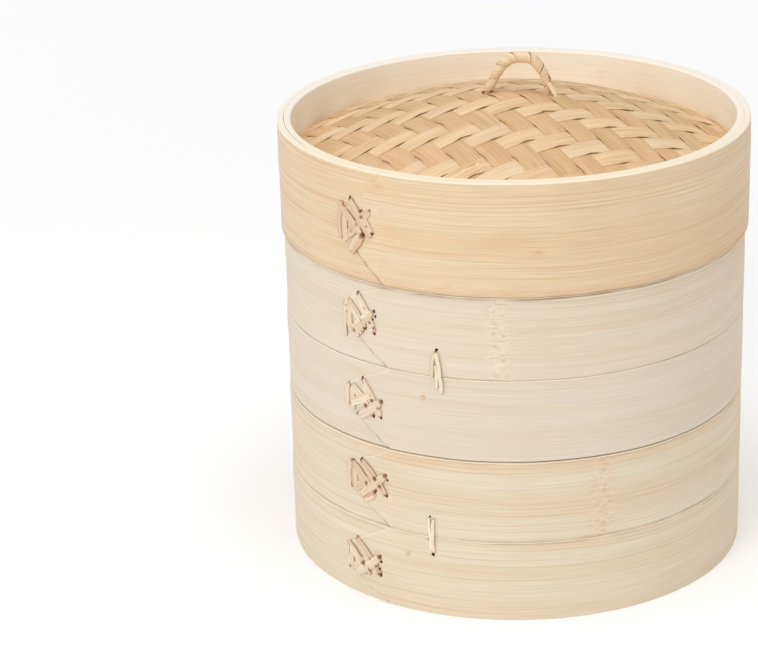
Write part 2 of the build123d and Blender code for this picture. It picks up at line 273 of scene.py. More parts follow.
def strip_bamboo(name, tones, deep, fine=0.35, rough=0.55, side=0.75, grain=1.0):
    """Thin split strips, each with its own tone: aux is (tone 0-1, dark mask of painted shade); mark y is painted shade
    along the edges.
    """
    m = Nodes(name)
    fib = m.uv("fib")
    aux = m.split(m.uv("aux"))
    mark = m.split(m.uv("mark"))
    ring = m.noise(m.scaled(fib, (160, 240, 1)), detail=2, color=True)
    ring = m.vmath("SUBTRACT", ring, (0.5, 0.5, 0.5))
    n = m.new("ShaderNodeVectorMath", operation="SCALE")
    m.put(n.inputs[0], ring)
    m.put(n.inputs["Scale"], m.math("MULTIPLY", mark[0], 0.0075))
    v = m.vmath("ADD", fib, n.outputs[0])
    broad = m.noise(m.scaled(v, (9, 130, 1)), detail=2, rough=0.55)
    mid = m.noise(m.scaled(v, (14, 620, 1)), detail=4, rough=0.65)
    hair = m.noise(m.scaled(v, (40, 2600, 1)), detail=2, rough=0.6)
    slow = m.noise(m.scaled(v, (36, 40, 1)), detail=2, rough=0.5)
    k = len(tones) - 1
    t = m.math("ADD", aux[0], m.math("MULTIPLY", m.math("SUBTRACT", slow, 0.5), 0.5), clamp=True)
    col = m.ramp(t, [(i / k, c) for i, c in enumerate(tones)])
    col = m.mix(m.math("MULTIPLY", m.span(broad, 0.42, 0.72), 0.4), col, deep)
    col = m.mix(m.math("MULTIPLY", m.span(mid, 0.5, 0.78), 0.42 * grain), col, deep)
    pale = (0.93, 0.80, 0.62, 1.0)
    col = m.mix(m.math("MULTIPLY", m.span(mid, 0.5, 0.2), 0.3 * grain), col, pale)
    f = m.span(hair, 0.3, 0.7, 1.0 - fine * 0.5, 1.0 + fine * 0.22)
    col = m.mix(1.0, col, m.new_rgb(f), "MULTIPLY")
    fl = m.span(m.noise(m.scaled(v, (110, 1500, 1)), detail=1), 0.7, 0.82)
    col = m.mix(m.math("MULTIPLY", fl, 0.4), col, tuple(c * 0.4 for c in deep[:3]) + (1.0,))
    rp = m.span(m.noise(m.scaled(v, (60, 760, 1)), detail=2), 0.45, 0.7)
    col = m.mix(m.math("MULTIPLY", m.math("MULTIPLY", rp, mark[0]), 0.6), col, deep)
    # painted shade along the strips' edges
    col = m.mix(m.math("MULTIPLY", mark[1], side), col, tuple(c * 0.55 for c in deep[:3]) + (1.0,))
    # the dark mask: painted shade at strip ends, holes and where strips pass under others
    col = m.mix(m.span(aux[1], 0.0, 0.6), col, (0.27, 0.105, 0.045, 1.0))
    col = m.mix(m.span(aux[1], 0.6, 1.0), col, (0.03, 0.012, 0.005, 1.0))
    m.put(m.bsdf.inputs["Base Color"], col)
    m.put(m.bsdf.inputs["Roughness"], m.span(mid, 0.3, 0.7, rough - 0.08, rough + 0.12))
    m.bsdf.inputs["Specular IOR Level"].default_value = 0.36
    h = m.math("ADD", m.math("MULTIPLY", mid, 0.6), m.math("MULTIPLY", hair, 0.4))
    m.put(m.bsdf.inputs["Normal"], m.bump(h, 0.55 * grain, 0.00013))
    return m.mat


# A dark brown leaf sheet under the woven cap, seen through the openings between the strips. It is made very dark: its
# own brown with painted shade for those openings.
def leaf(name):
    m = Nodes(name)
    p = m.obj()
    grain = m.noise(m.scaled(p, (900, 60, 200)), detail=3)
    blot = m.noise(p, scale=45, detail=3)
    col = m.ramp(m.math("ADD", m.math("MULTIPLY", grain, 0.6), m.math("MULTIPLY", blot, 0.5)), [(0.3, (0.045, 0.02, 0.01, 1)), (0.55, (0.085, 0.04, 0.018, 1)), (0.8, (0.15, 0.075, 0.035, 1))])
    m.put(m.bsdf.inputs["Base Color"], col)
    m.put(m.bsdf.inputs["Roughness"], m.span(grain, 0.3, 0.7, 0.65, 0.85))
    m.put(m.bsdf.inputs["Normal"], m.bump(grain, 0.5, 0.0002))
    return m.mat


def peg(name, pale_inside=False):
    """End grain of a split peg, with tiny darker dots. Inside the lid the pegs are as pale as the lid's inner hoop, and
    like it this paleness is partly painted light.
    """
    m = Nodes(name)
    p = m.obj()
    dots = m.new("ShaderNodeTexVoronoi")
    m.put(dots.inputs["Vector"], p)
    dots.inputs["Scale"].default_value = 2600
    grain = m.noise(m.scaled(p, (1500, 1500, 1500)), detail=2)
    blot = m.noise(p, scale=300, detail=2)
    col = m.mix(m.span(blot, 0.3, 0.7), lin(230, 204, 170), lin(218, 188, 150))
    col = m.mix(m.math("MULTIPLY", m.span(dots.outputs["Distance"], 0.35, 0.1), 0.12), col, lin(206, 170, 130))
    col = m.mix(m.math("MULTIPLY", m.span(grain, 0.5, 0.8), 0.12), col, lin(216, 184, 146))
    if pale_inside:
        x, y, _z = m.split(p)
        r2 = m.math("ADD", m.math("MULTIPLY", x, x), m.math("MULTIPLY", y, y))
        inside = m.span(r2, 0.0995 ** 2, 0.0975 ** 2)
        col = m.mix(m.math("MULTIPLY", inside, 0.92), col, lin(252, 240, 218))
    m.put(m.bsdf.inputs["Base Color"], col)
    m.put(m.bsdf.inputs["Roughness"], m.span(grain, 0.3, 0.7, 0.55, 0.8))
    m.put(m.bsdf.inputs["Normal"], m.bump(grain, 0.5, 0.0001))
    return m.mat


# ---------------------------------------------------------------- mesh helpers
def fix_normals(me):
    """Turns the faces outwards if the closed mesh is inside out."""
    n = len(me.loop_triangles) or (me.calc_loop_triangles() or len(me.loop_triangles))
    co = np.zeros(len(me.vertices) * 3)
    me.vertices.foreach_get("co", co)
    co = co.reshape(-1, 3)
    tri = np.zeros(n * 3, int)
    me.loop_triangles.foreach_get("vertices", tri)
    a, b, c = (co[tri.reshape(-1, 3)[:, i]] for i in range(3))
    if np.einsum("ij,ij->i", a, np.cross(b, c)).sum() < 0:
        me.flip_normals()


class Builder:
    """Gathers grids of points, in mm, into one mesh with the UV layers fib, aux and mark."""

    LAYERS = ("fib", "aux", "mark")

    def __init__(self):
        self.co, self.faces, self.uv = [], [], {k: [] for k in self.LAYERS}
        self.count = 0

    def grid(self, P, fib, aux, mark=None, closed_u=False, cap=True):
        """P[nu, nv, 3], always closed round v. fib, aux and mark are [nu(+1 if closed_u), nv+1, 2]."""
        P = np.asarray(P, float)
        nu, nv = P.shape[:2]
        if mark is None:
            mark = np.zeros_like(fib)
        # keeps each closed body the right way out
        base = self.count
        iu = np.arange(nu if closed_u else nu - 1)
        jv = np.arange(nv)
        I, J = np.meshgrid(iu, jv, indexing="ij")
        I2, J2 = (I + 1), (J + 1)
        idx = lambda i, j: (i % nu) * nv + (j % nv)
        quads = np.stack([idx(I, J), idx(I2, J), idx(I2, J2), idx(I, J2)], -1).reshape(-1, 4)
        corner = [(I, J), (I2, J), (I2, J2), (I, J2)]
        uvs = {}
        for k, arr in zip(self.LAYERS, (fib, aux, mark)):
            arr = np.asarray(arr, float)
            uvs[k] = np.stack([arr[i, j] for i, j in corner], -2).reshape(-1, 4, 2)
        # the sign of the volume says which way the quads face
        flat = P.reshape(-1, 3)
        c = flat.mean(0)
        a_, b_, c_, d_ = (flat[quads[:, i]] - c for i in range(4))
        vol = np.einsum("ij,ij->i", a_, np.cross(b_, c_)).sum() + np.einsum("ij,ij->i", a_, np.cross(c_, d_)).sum()
        caps = []
        if not closed_u and cap:
            caps = [np.arange(nv), (nu - 1) * nv + np.arange(nv)[::-1]]
        if vol < 0:
            quads = quads[:, ::-1]
            uvs = {k: u[:, ::-1] for k, u in uvs.items()}
            caps = [q[::-1] for q in caps]
        self.co.append(flat)
        self.faces.extend((quads + base).tolist())
        for k in self.LAYERS:
            self.uv[k].append(uvs[k].reshape(-1, 2))
        for n_, q in enumerate(caps):
            self.faces.append((q + base).tolist())
            row = 0 if n_ == 0 else -1
            for k, arr in zip(self.LAYERS, (fib, aux, mark)):
                ring = np.asarray(arr, float)[row, :nv]
                order = (q - (0 if n_ == 0 else (nu - 1) * nv))
                self.uv[k].append(ring[order])
        self.count += nu * nv

    def mesh(self, name, angle=40.0):
        me = bpy.data.meshes.new(name)
        co = np.concatenate(self.co) * MM
        me.from_pydata(co.tolist(), [], self.faces)
        for k in self.LAYERS:
            lay = me.uv_layers.new(name=k)
            lay.data.foreach_set("uv", np.concatenate(self.uv[k]).astype(np.float32).ravel())
        me.polygons.foreach_set("use_smooth", [True] * len(me.polygons))
        me.set_sharp_from_angle(angle=math.radians(angle))
        me.update()
        return me


def piece(name, me, body, nodes, slot, *mats):
    o = bpy.data.objects.new(name, me)
    bpy.context.scene.collection.objects.link(o)
    for mt in mats:
        me.materials.append(mt)
    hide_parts(*nodes)
    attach(o, body)
    return o


def cyl(r, az, z):
    az = np.radians(az)
    return np.stack([r * np.sin(az), -r * np.cos(az), z + 0 * az], -1)


# ---------------------------------------------------------------- hoops of bent bamboo
class Lap:
    """The overlap of a hoop: az(z) is the visible end of the outer sheet."""

    def __init__(self, zc, az=-39.3, tongue=True, step=0.75, fade=104.0, lo=18.0, hi=18.0):
        self.zc, self.az, self.tongue, self.step, self.fade, self.lo, self.hi = zc, az, tongue, step, fade, lo, hi

    def edge(self, z):
        if not self.tongue:
            return self.az + 0.6 * np.sin((z - self.zc) * 0.23)
        h = np.asarray(z, float) - self.zc
        e = np.interp(h, [-self.lo - 6, -self.lo, -10.25, -4.5, 4.5, 10.25, self.hi, self.hi + 6], [-31.2, -31.5, -39.3, -44.6, -44.6, -39.3, -31.5, -31.2])
        return e + (self.az + 39.3) + 0.25 * np.sin(z * 1.3) + 0.2 * np.sin(z * 0.47 + 1)

    def step_at(self, z):
        """The tongue is shaved flush above and keeps its full thickness below."""
        if not self.tongue:
            return self.step + 0 * np.asarray(z, float)
        return self.step * np.interp(np.asarray(z, float) - self.zc, [1.0, 8.0], [1.0, 0.3])

    def drop(self, az, z):
        """How far the sheet under the tongue lies below the tongue's face."""
        d = (self.edge(z) - az) % 360.0
        d = np.where(d > 180, 0, d)
        return self.step_at(z) * (1 - smooth(d / self.fade)) * (d > 0)


U = np.concatenate([[0, 0.12, 0.3, 0.6, 1.0], np.arange(1.6, 66, 1.1), np.arange(66, 330, 2.0), np.arange(330, 358, 1.4), [358.4, 358.9, 359.2, 359.35, 359.5, 359.65, 359.8, 359.9, 359.99]])


def hoop(name, body, nodes, slot, mat, r_in, r_out, z0, z1, lap, seed, lo=None, hi=None, belly=0.12, corner=0.6, scars=(), stains=(), holes=(), bottom_rim=0.6, top_out=None, top_in=None, seam_shade_and_dust=None, lit=0.0):
    lo = lo or (lambda az: 0 * az)
    hi = hi or (lambda az: 0 * az)
    H = z1 - z0
    # section loop: (side 0 outer, 1 top, 2 inner, 3 bottom; radial fraction, z)
    c = min(corner, 0.45 * (r_out - r_in))
    kinks = [k for k in (lap.zc - 10.25, lap.zc - 4.5, lap.zc, lap.zc + 4.5, lap.zc + 10.25) if lap.tongue]
    zs = np.linspace(z0 + c, z1 - c, max(5, int(H / 2.0)))
    top_rows = [z1 - d for d in (0.85, 1.15, 1.45, 1.8, 2.2)] + [z0 + d for d in (0.8, 1.2, 1.7)] if H > 20 else []
    zs = np.unique(np.round(np.concatenate([zs, kinks, top_rows]), 3))
    loop = [(r_out, z, 0) for z in zs]
    co_, ci_ = top_out or c, top_in or c
    loop[-1] = (r_out, z1 - co_, 0)
    for t in (22, 45, 68):
        a = math.radians(t)
        loop.append((r_out - co_ + co_ * math.cos(a), z1 - co_ + co_ * math.sin(a), 1))
    for f in np.linspace(0, 1, 4):
        loop.append((r_out - co_ + f * (r_in + ci_ - (r_out - co_)), z1, 1))
    for t in (22, 45, 68):
        a = math.radians(t)
        loop.append((r_in + ci_ - ci_ * math.sin(a), z1 - ci_ + ci_ * math.cos(a), 1))
    for z in np.linspace(z1 - ci_, z0 + c, max(4, int(H / 6))):
        loop.append((r_in, z, 2))
    for t in (22, 45, 68):
        a = math.radians(t)
        loop.append((r_in + c - c * math.cos(a), z0 + c - c * math.sin(a), 3))
    for f in np.linspace(0, 1, 4):
        loop.append((r_in + c + f * (r_out - c - (r_in + c)), z0, 3))
    for t in (22, 45, 68):
        a = math.radians(t)
        loop.append((r_out - c + c * math.sin(a), z0 + c - c * math.cos(a), 3))
    R = np.array([p[0] for p in loop])
    Z = np.array([p[1] for p in loop])
    S = np.array([p[2] for p in loop])
    nv = len(loop)
    arc = np.concatenate([[0], np.cumsum(np.hypot(np.diff(np.append(R, R[0])), np.diff(np.append(Z, Z[0]))))])
    u = U[:, None]
    w = 1 - smooth(u / 30) + smooth((u - 330) / 30)
    mean = -38.0 if lap.tongue else lap.az
    az = lap.edge(Z)[None, :] * w + mean * (1 - w) + u
    t = (Z - z0) / H
    zz = Z[None, :] + lo(az) * (1 - t) + hi(az) * t
    radial = waves(seed + 5, (2, 3, 4, 7), 0.07)
    local = waves(seed + 9, (17, 29, 41), 0.025)
    depth = (R[None, :] - r_in) / (r_out - r_in)
    drop = lap.step_at(Z)[None, :] * smooth((u - (360 - lap.fade)) / lap.fade)
    rr = R[None, :] - drop * depth - depth * (belly * (2 * t - 1) ** 2 + 0.1 + radial(az) + local(az + 40 * t))
    P = cyl(rr, az, zz)
    n = len(U)
    key_lid = body == "lid"
    # the CAD hoop is a little flatter on its left side
    left = -101.2
    P[..., 0] = np.where(P[..., 0] < left, left + (P[..., 0] - left) * 0.8, P[..., 0])
    uu = np.append(U, 360.0)
    along = np.radians(np.concatenate([az, az[-1:] + 0.015])) * r_out
    along = np.concatenate([along, along[:, :1]], 1)
    off = seed * 0.613
    fib = np.stack([along * MM + off, np.broadcast_to(arc[None, :] * MM + off, along.shape)], -1)
    rim = np.append((S == 1) * 1.0, (S[0] == 1) * 1.0)
    rim = np.maximum(rim, np.append((S == 3) * bottom_rim, 0))
    aux = np.zeros((n + 1, nv + 1, 2))
    aux[..., 0] = rim[None, :]
    if lap.tongue:
        # painted shade, with some dust, in the crease under the tongue's lower edge
        zl = np.append(Z, Z[0])
        face = np.append((S == 0) * 1.0, 1.0)
        below = face * (0.4 * (zl < lap.zc - 3.0) + 0.2 * (np.abs(zl - lap.zc) < 4.6))
        near = np.exp(-((360.0 - uu) / 1.05) ** 4) * (uu > 300)
        aux[..., 1] = near[:, None] * below[None, :]
        # painted highlight on the tongue's shaved upper edge, fainter on the lid
        above = face * np.clip((zl - lap.zc - 3.0) / 4.0, 0, 0.15 if key_lid else 0.8)
        aux[..., 0] = np.maximum(aux[..., 0], (np.exp(-(uu / 0.65) ** 2) * (uu < 20))[:, None] * above[None, :])
    if seam_shade_and_dust:
        # painted shade for the seams and for the lid's overhang shadow, with some dust, along the top and bottom edges
        zl = np.append(Z, Z[0])
        face = np.append((S == 0) * 1.0, 1.0)
        for kk, (k_, w_, zr) in enumerate(((seam_shade_and_dust[0], seam_shade_and_dust[1], z1), (seam_shade_and_dust[2], seam_shade_and_dust[3], z0))):
            g_az = 0.7 + 0.45 * waves(seed + 3 + kk, (3, 7, 13, 24, 37), 1.0)(np.append(U, 360.0))
            side = np.maximum(face, np.append((S == 3) * 1.0, 1.0)) if kk else face
            g_z = side * np.exp(-((zr - zl) / w_) ** 2)
            aux[..., 1] = np.maximum(aux[..., 1], k_ * np.clip(g_az, 0.12, 1.15)[:, None] * g_z[None, :])
    if lit:
        # the top edge catches the light where the lid stands further in
        zl = np.append(Z, Z[0])
        a_ = lap.edge(z1) + np.append(U, 360.0)
        a_ = (a_ + 180) % 360 - 180
        w_ = smooth((a_ - 6) / 16) * (1 - smooth((a_ - 84) / 10))
        bright = np.exp(-((zl - (z1 - 1.45)) / 0.34) ** 2) * np.append((S == 0) * 1.0, 1.0)
        aux[..., 0] = np.maximum(aux[..., 0], lit * w_[:, None] * bright[None, :])
        aux[..., 1] = aux[..., 1] * (1 - 0.8 * w_[:, None] * (np.exp(-((zl - (z1 - 1.6)) / 0.42) ** 2))[None, :])
    azf = np.concatenate([az, az[-1:]])
    azf = np.concatenate([azf, azf[:, :1]], 1)
    zf = np.append(Z, Z[0])[None, :] + 0 * azf
    mark = np.zeros((n + 1, nv + 1, 2))
    outer = np.append(S <= 1, True) * 1.0
    for (ca, wd, k) in scars:
        skew = waves(seed + int(abs(ca)) + 1, (1, 2, 3), 0.5)(zf * 9)
        d = (azf - ca - skew + 180) % 360 - 180
        mark[..., 0] = np.maximum(mark[..., 0], k * np.exp(-(np.abs(d) / wd) ** 3))
    for (ca, cz, wa, wz, k) in stains:
        d = (azf - ca + 180) % 360 - 180
        mark[..., 1] = np.maximum(mark[..., 1], outer * k * np.exp(-((d / wa) ** 2) - ((zf - cz) / wz) ** 2))
    b = Builder()
    b.grid(P, fib, aux, mark, closed_u=True)
    me = b.mesh(name, 38)
    o = bpy.data.objects.new(name + "_raw", me)
    bpy.context.scene.collection.objects.link(o)
    if len(holes):
        cut = Builder()
        g = np.random.default_rng(seed + 77)
        for (ha, hz, hr) in holes:
            k = 9
            th = np.linspace(0, 2 * math.pi, k, endpoint=False)
            rad = hr * (1 + g.uniform(-0.24, 0.24, k))
            lean = g.uniform(0.0, 0.45)
            rings = []
            for depth_, s in ((1.2, 1.1), (-0.1, 1.0), (-1.7, 0.8)):
                z = rad * np.sin(th) * s * 1.18
                x = rad * np.cos(th) * s * 0.92 + lean * z
                z = z + hz
                r = r_out + depth_
                rings.append(cyl(r + 0 * x, ha + np.degrees(x / r_out), z))
            Pc = np.array(rings)
            f0 = np.zeros((3, k + 1, 2))
            a0 = np.zeros((3, k + 1, 2))
            # painted shade: the walls of the holes are darkened towards brown-black
            a0[..., 1] = 0.74
            cut.grid(Pc, f0, a0, f0)
        cme = cut.mesh(name + "_cut", 60)
        co = bpy.data.objects.new(name + "_cutter", cme)
        bpy.context.scene.collection.objects.link(co)
        md = o.modifiers.new("holes", "BOOLEAN")
        md.operation = "DIFFERENCE"
        md.object = co
        md.solver = "EXACT"
        bpy.context.view_layer.update()
        dg = bpy.context.evaluated_depsgraph_get()
        done = bpy.data.meshes.new_from_object(o.evaluated_get(dg), preserve_all_data_layers=True, depsgraph=dg)
        if len(done.polygons) > 0.6 * len(me.polygons):
            me = done
        me.name = name
        me.set_sharp_from_angle(angle=math.radians(38))
        bpy.data.objects.remove(co)
    bpy.data.objects.remove(o)
    return piece(name, me, body, nodes, slot, mat)


# ---------------------------------------------------------------- flat strips laid on a curved wall
def section(n=14, power=0.55):
    a = np.linspace(0, 2 * math.pi, n, endpoint=False)
    c, s = np.cos(a), np.sin(a)
    return np.sign(c) * np.abs(c) ** power, np.sign(s) * np.abs(s) ** power


def laid(b, R, az0, a, c, width, thick, lift, seed, lap=None, bow=0.0, power=0.5, taper=0.5, dive=1.4, n=34, tone=None, out=1.0, bulge=0.0, ext=0.9, neck=2.6, spots=()):
    """One strip on the wall of radius R from a to c, both (mm to the right of az0, z). It narrows and dives into a hole
    at each end, where it is darkened with painted shade. out=-1 lays it on the inside of a wall. spots are (az, z, r,
    k) places where it gets painted shade, for the shade of its neighbours."""
    g = np.random.default_rng(seed)
    sx, sy = section(14, power)
    a, c = np.array(a, float), np.array(c, float)
    L = np.hypot(*(c - a))
    d = (c - a) / L
    nrm = np.array([-d[1], d[0]])
    s = np.linspace(-ext, L + ext, n)
    t = s / L
    q = a + d * s[:, None] + nrm * (bow * 4 * t * (1 - t) + 0.1 * np.sin(s * 0.8 + seed))[:, None]
    end = np.minimum(s + ext, L + ext - s)
    k = smooth(end / dive)
    h = -1.2 + (lift + 1.2) * k + bulge * 4 * t * (1 - t)
    wloc = width * (taper + (1 - taper) * smooth(end / neck)) * (1 + 0.04 * np.sin(s * 1.1 + g.uniform(0, 6)))
    twist = g.uniform(-0.06, 0.06)
    drop = np.zeros(n)
    if lap is not None:
        # the strip bridges the step of the lap
        raw = lap.drop(az0 + np.degrees(q[:, 0] / R), q[:, 1])
        ker = np.exp(-(np.arange(-7, 8) * (s[1] - s[0]) / 1.4) ** 2)
        drop = np.minimum(raw, np.convolve(np.pad(raw, 7, mode="edge"), ker / ker.sum(), mode="valid"))
        soft = np.convolve(np.pad(drop, 7, mode="edge"), ker / ker.sum(), mode="valid")
        drop = np.minimum(soft, raw + 0.12)
    P = np.zeros((n, 14, 3))
    shade = np.zeros((n, 15))
    for i in range(n):
        off = sx * wloc[i] / 2
        hh = h[i] + sy * thick / 2 + (1 - sx * sx) * 0.12 * min(1, width / 3) + twist * off
        x = q[i, 0] + nrm[0] * off
        z = q[i, 1] + nrm[1] * off
        az = az0 + np.degrees(x / R)
        P[i] = cyl(R - drop[i] + out * hh, az, z)
        for (sa, sz, sr, sk) in spots:
            dd = np.hypot(np.radians(az - sa) * R, z - sz) / sr
            sh = 0.92 * sk * np.exp(-dd ** 2.2)
            shade[i, :14] = np.maximum(shade[i, :14], sh)
    shade[:, 14] = shade[:, 0]
    across = np.append(sx, sx[0]) * width / 2
    fib = np.zeros((n, 15, 2))
    fib[..., 0] = (s[:, None] + seed * 37.1) * MM
    fib[..., 1] = (across[None, :] + seed * 11.3) * MM
    aux = np.zeros((n, 15, 2))
    aux[..., 0] = g.uniform(0.05, 0.95) if tone is None else tone
    # painted shade where the strip dives into its hole, and at the spots
    aux[..., 1] = np.maximum((0.7 * (1 - smooth((end - 0.1) / 1.3)))[:, None] * np.ones(15), shade)
    mark = np.zeros((n, 15, 2))
    # painted shade along both edges of the strip
    mark[..., 1] = np.append((np.abs(sx) > 0.9) * 0.5, 0)[None, :]
    b.grid(P, fib, aux, mark)


# ---------------------------------------------------------------- materials
cream = lin(246, 226, 196)
M = {}
M["lid"] = bamboo("lid_bamboo_mat", lin(236, 213, 180), lin(230, 197, 157), lin(217, 168, 120), rim=lin(250, 233, 206), rim_back_painted_light=lin(250, 243, 230), node=lin(240, 214, 180), stain=lin(214, 160, 104), streaks=0.62, orange=0.6, blotch=0.3, fine=0.2)
M["upper_top"] = bamboo("upper_top_bamboo_mat", lin(234, 218, 197), lin(228, 206, 179), lin(222, 190, 158), rim=lin(246, 234, 214), node=lin(238, 224, 199), stain=lin(224, 196, 150), streaks=0.4, orange=0.25, blotch=0.16, fine=0.14, lines=0.33)
M["upper_base"] = bamboo("upper_base_bamboo_mat", lin(232, 218, 198), lin(226, 206, 180), lin(222, 190, 162), rim=lin(246, 234, 214), node=lin(240, 222, 196), stain=lin(224, 196, 150), streaks=0.4, orange=0.22, blotch=0.16, fine=0.13, lines=0.33)
M["lower_top"] = bamboo("lower_top_bamboo_mat", lin(235, 220, 196), lin(227, 204, 170), lin(218, 178, 134), rim=lin(246, 232, 208), node=lin(238, 210, 182), stain=lin(226, 178, 128), streaks=0.42, orange=0.35, blotch=0.2, fine=0.16, wide=0.48)
M["lower_base"] = bamboo("lower_base_bamboo_mat", lin(235, 220, 196), lin(227, 205, 169), lin(220, 180, 136), rim=lin(246, 232, 208), node=lin(238, 214, 180), stain=lin(226, 178, 128), streaks=0.42, orange=0.38, blotch=0.2, fine=0.16, wide=0.48)
M["inner"] = bamboo("inner_bamboo_mat", lin(244, 222, 190), lin(236, 206, 166), lin(220, 176, 124), rim=lin(250, 234, 208), streaks=0.45, orange=0.3, blotch=0.35, fine=0.2)
# the lid's inner hoop: bamboo pushed nearly to white, paler than the other inner bamboo, as painted light for the inner
# wall, which lies in shade
M["rim"] = bamboo("rim_bamboo_mat", lin(254, 248, 234), lin(252, 242, 222), lin(247, 224, 188), rim=lin(251, 235, 210), rim_back_painted_light=lin(250, 243, 230), streaks=0.4, orange=0.25, blotch=0.3, fine=0.12, lines=0.22)
M["slat"] = bamboo("slat_bamboo_mat", lin(240, 218, 184), lin(228, 196, 152), lin(206, 160, 106), rim=lin(238, 214, 178), streaks=0.6, orange=0.4, blotch=0.35, fine=0.3, fleck=0.6)
# the weave's two directions are one bamboo in a lit and a shaded copy: painted light for how the light falls on strips
# running each way
M["weave_a"] = strip_bamboo("weave_a_lit_copy_mat", [lin(232, 200, 160), lin(238, 206, 164), lin(241, 208, 165), lin(235, 201, 160), lin(240, 211, 174)], lin(212, 162, 110))
M["weave_b"] = strip_bamboo("weave_b_shaded_copy_mat", [lin(217, 184, 142), lin(224, 187, 139), lin(229, 189, 145), lin(219, 182, 133), lin(227, 193, 148)], lin(199, 149, 97))
M["rattan"] = strip_bamboo("rattan_mat", [lin(234, 204, 172), lin(240, 214, 184), lin(228, 194, 160), lin(242, 220, 192)], lin(196, 146, 104), fine=0.4, side=0.5, grain=0.6)
M["rattan_pale"] = strip_bamboo("rattan_pale_mat", [lin(240, 218, 188), lin(246, 228, 202), lin(234, 208, 176), lin(248, 232, 210)], lin(206, 162, 122), fine=0.4, side=0.5, grain=0.6)
M["tie"] = strip_bamboo("tie_mat", [lin(248, 232, 204), lin(250, 238, 216), lin(246, 228, 198)], lin(222, 186, 142), side=0.5, grain=0.6)
M["handle"] = strip_bamboo("handle_mat", [lin(242, 214, 178), lin(248, 224, 190), lin(238, 208, 170)], lin(206, 160, 112), side=0.32, grain=0.8)
M["leaf"] = leaf("leaf_mat")
M["peg"] = peg("peg_mat")
M["lid_peg"] = peg("lid_peg_mat", True)
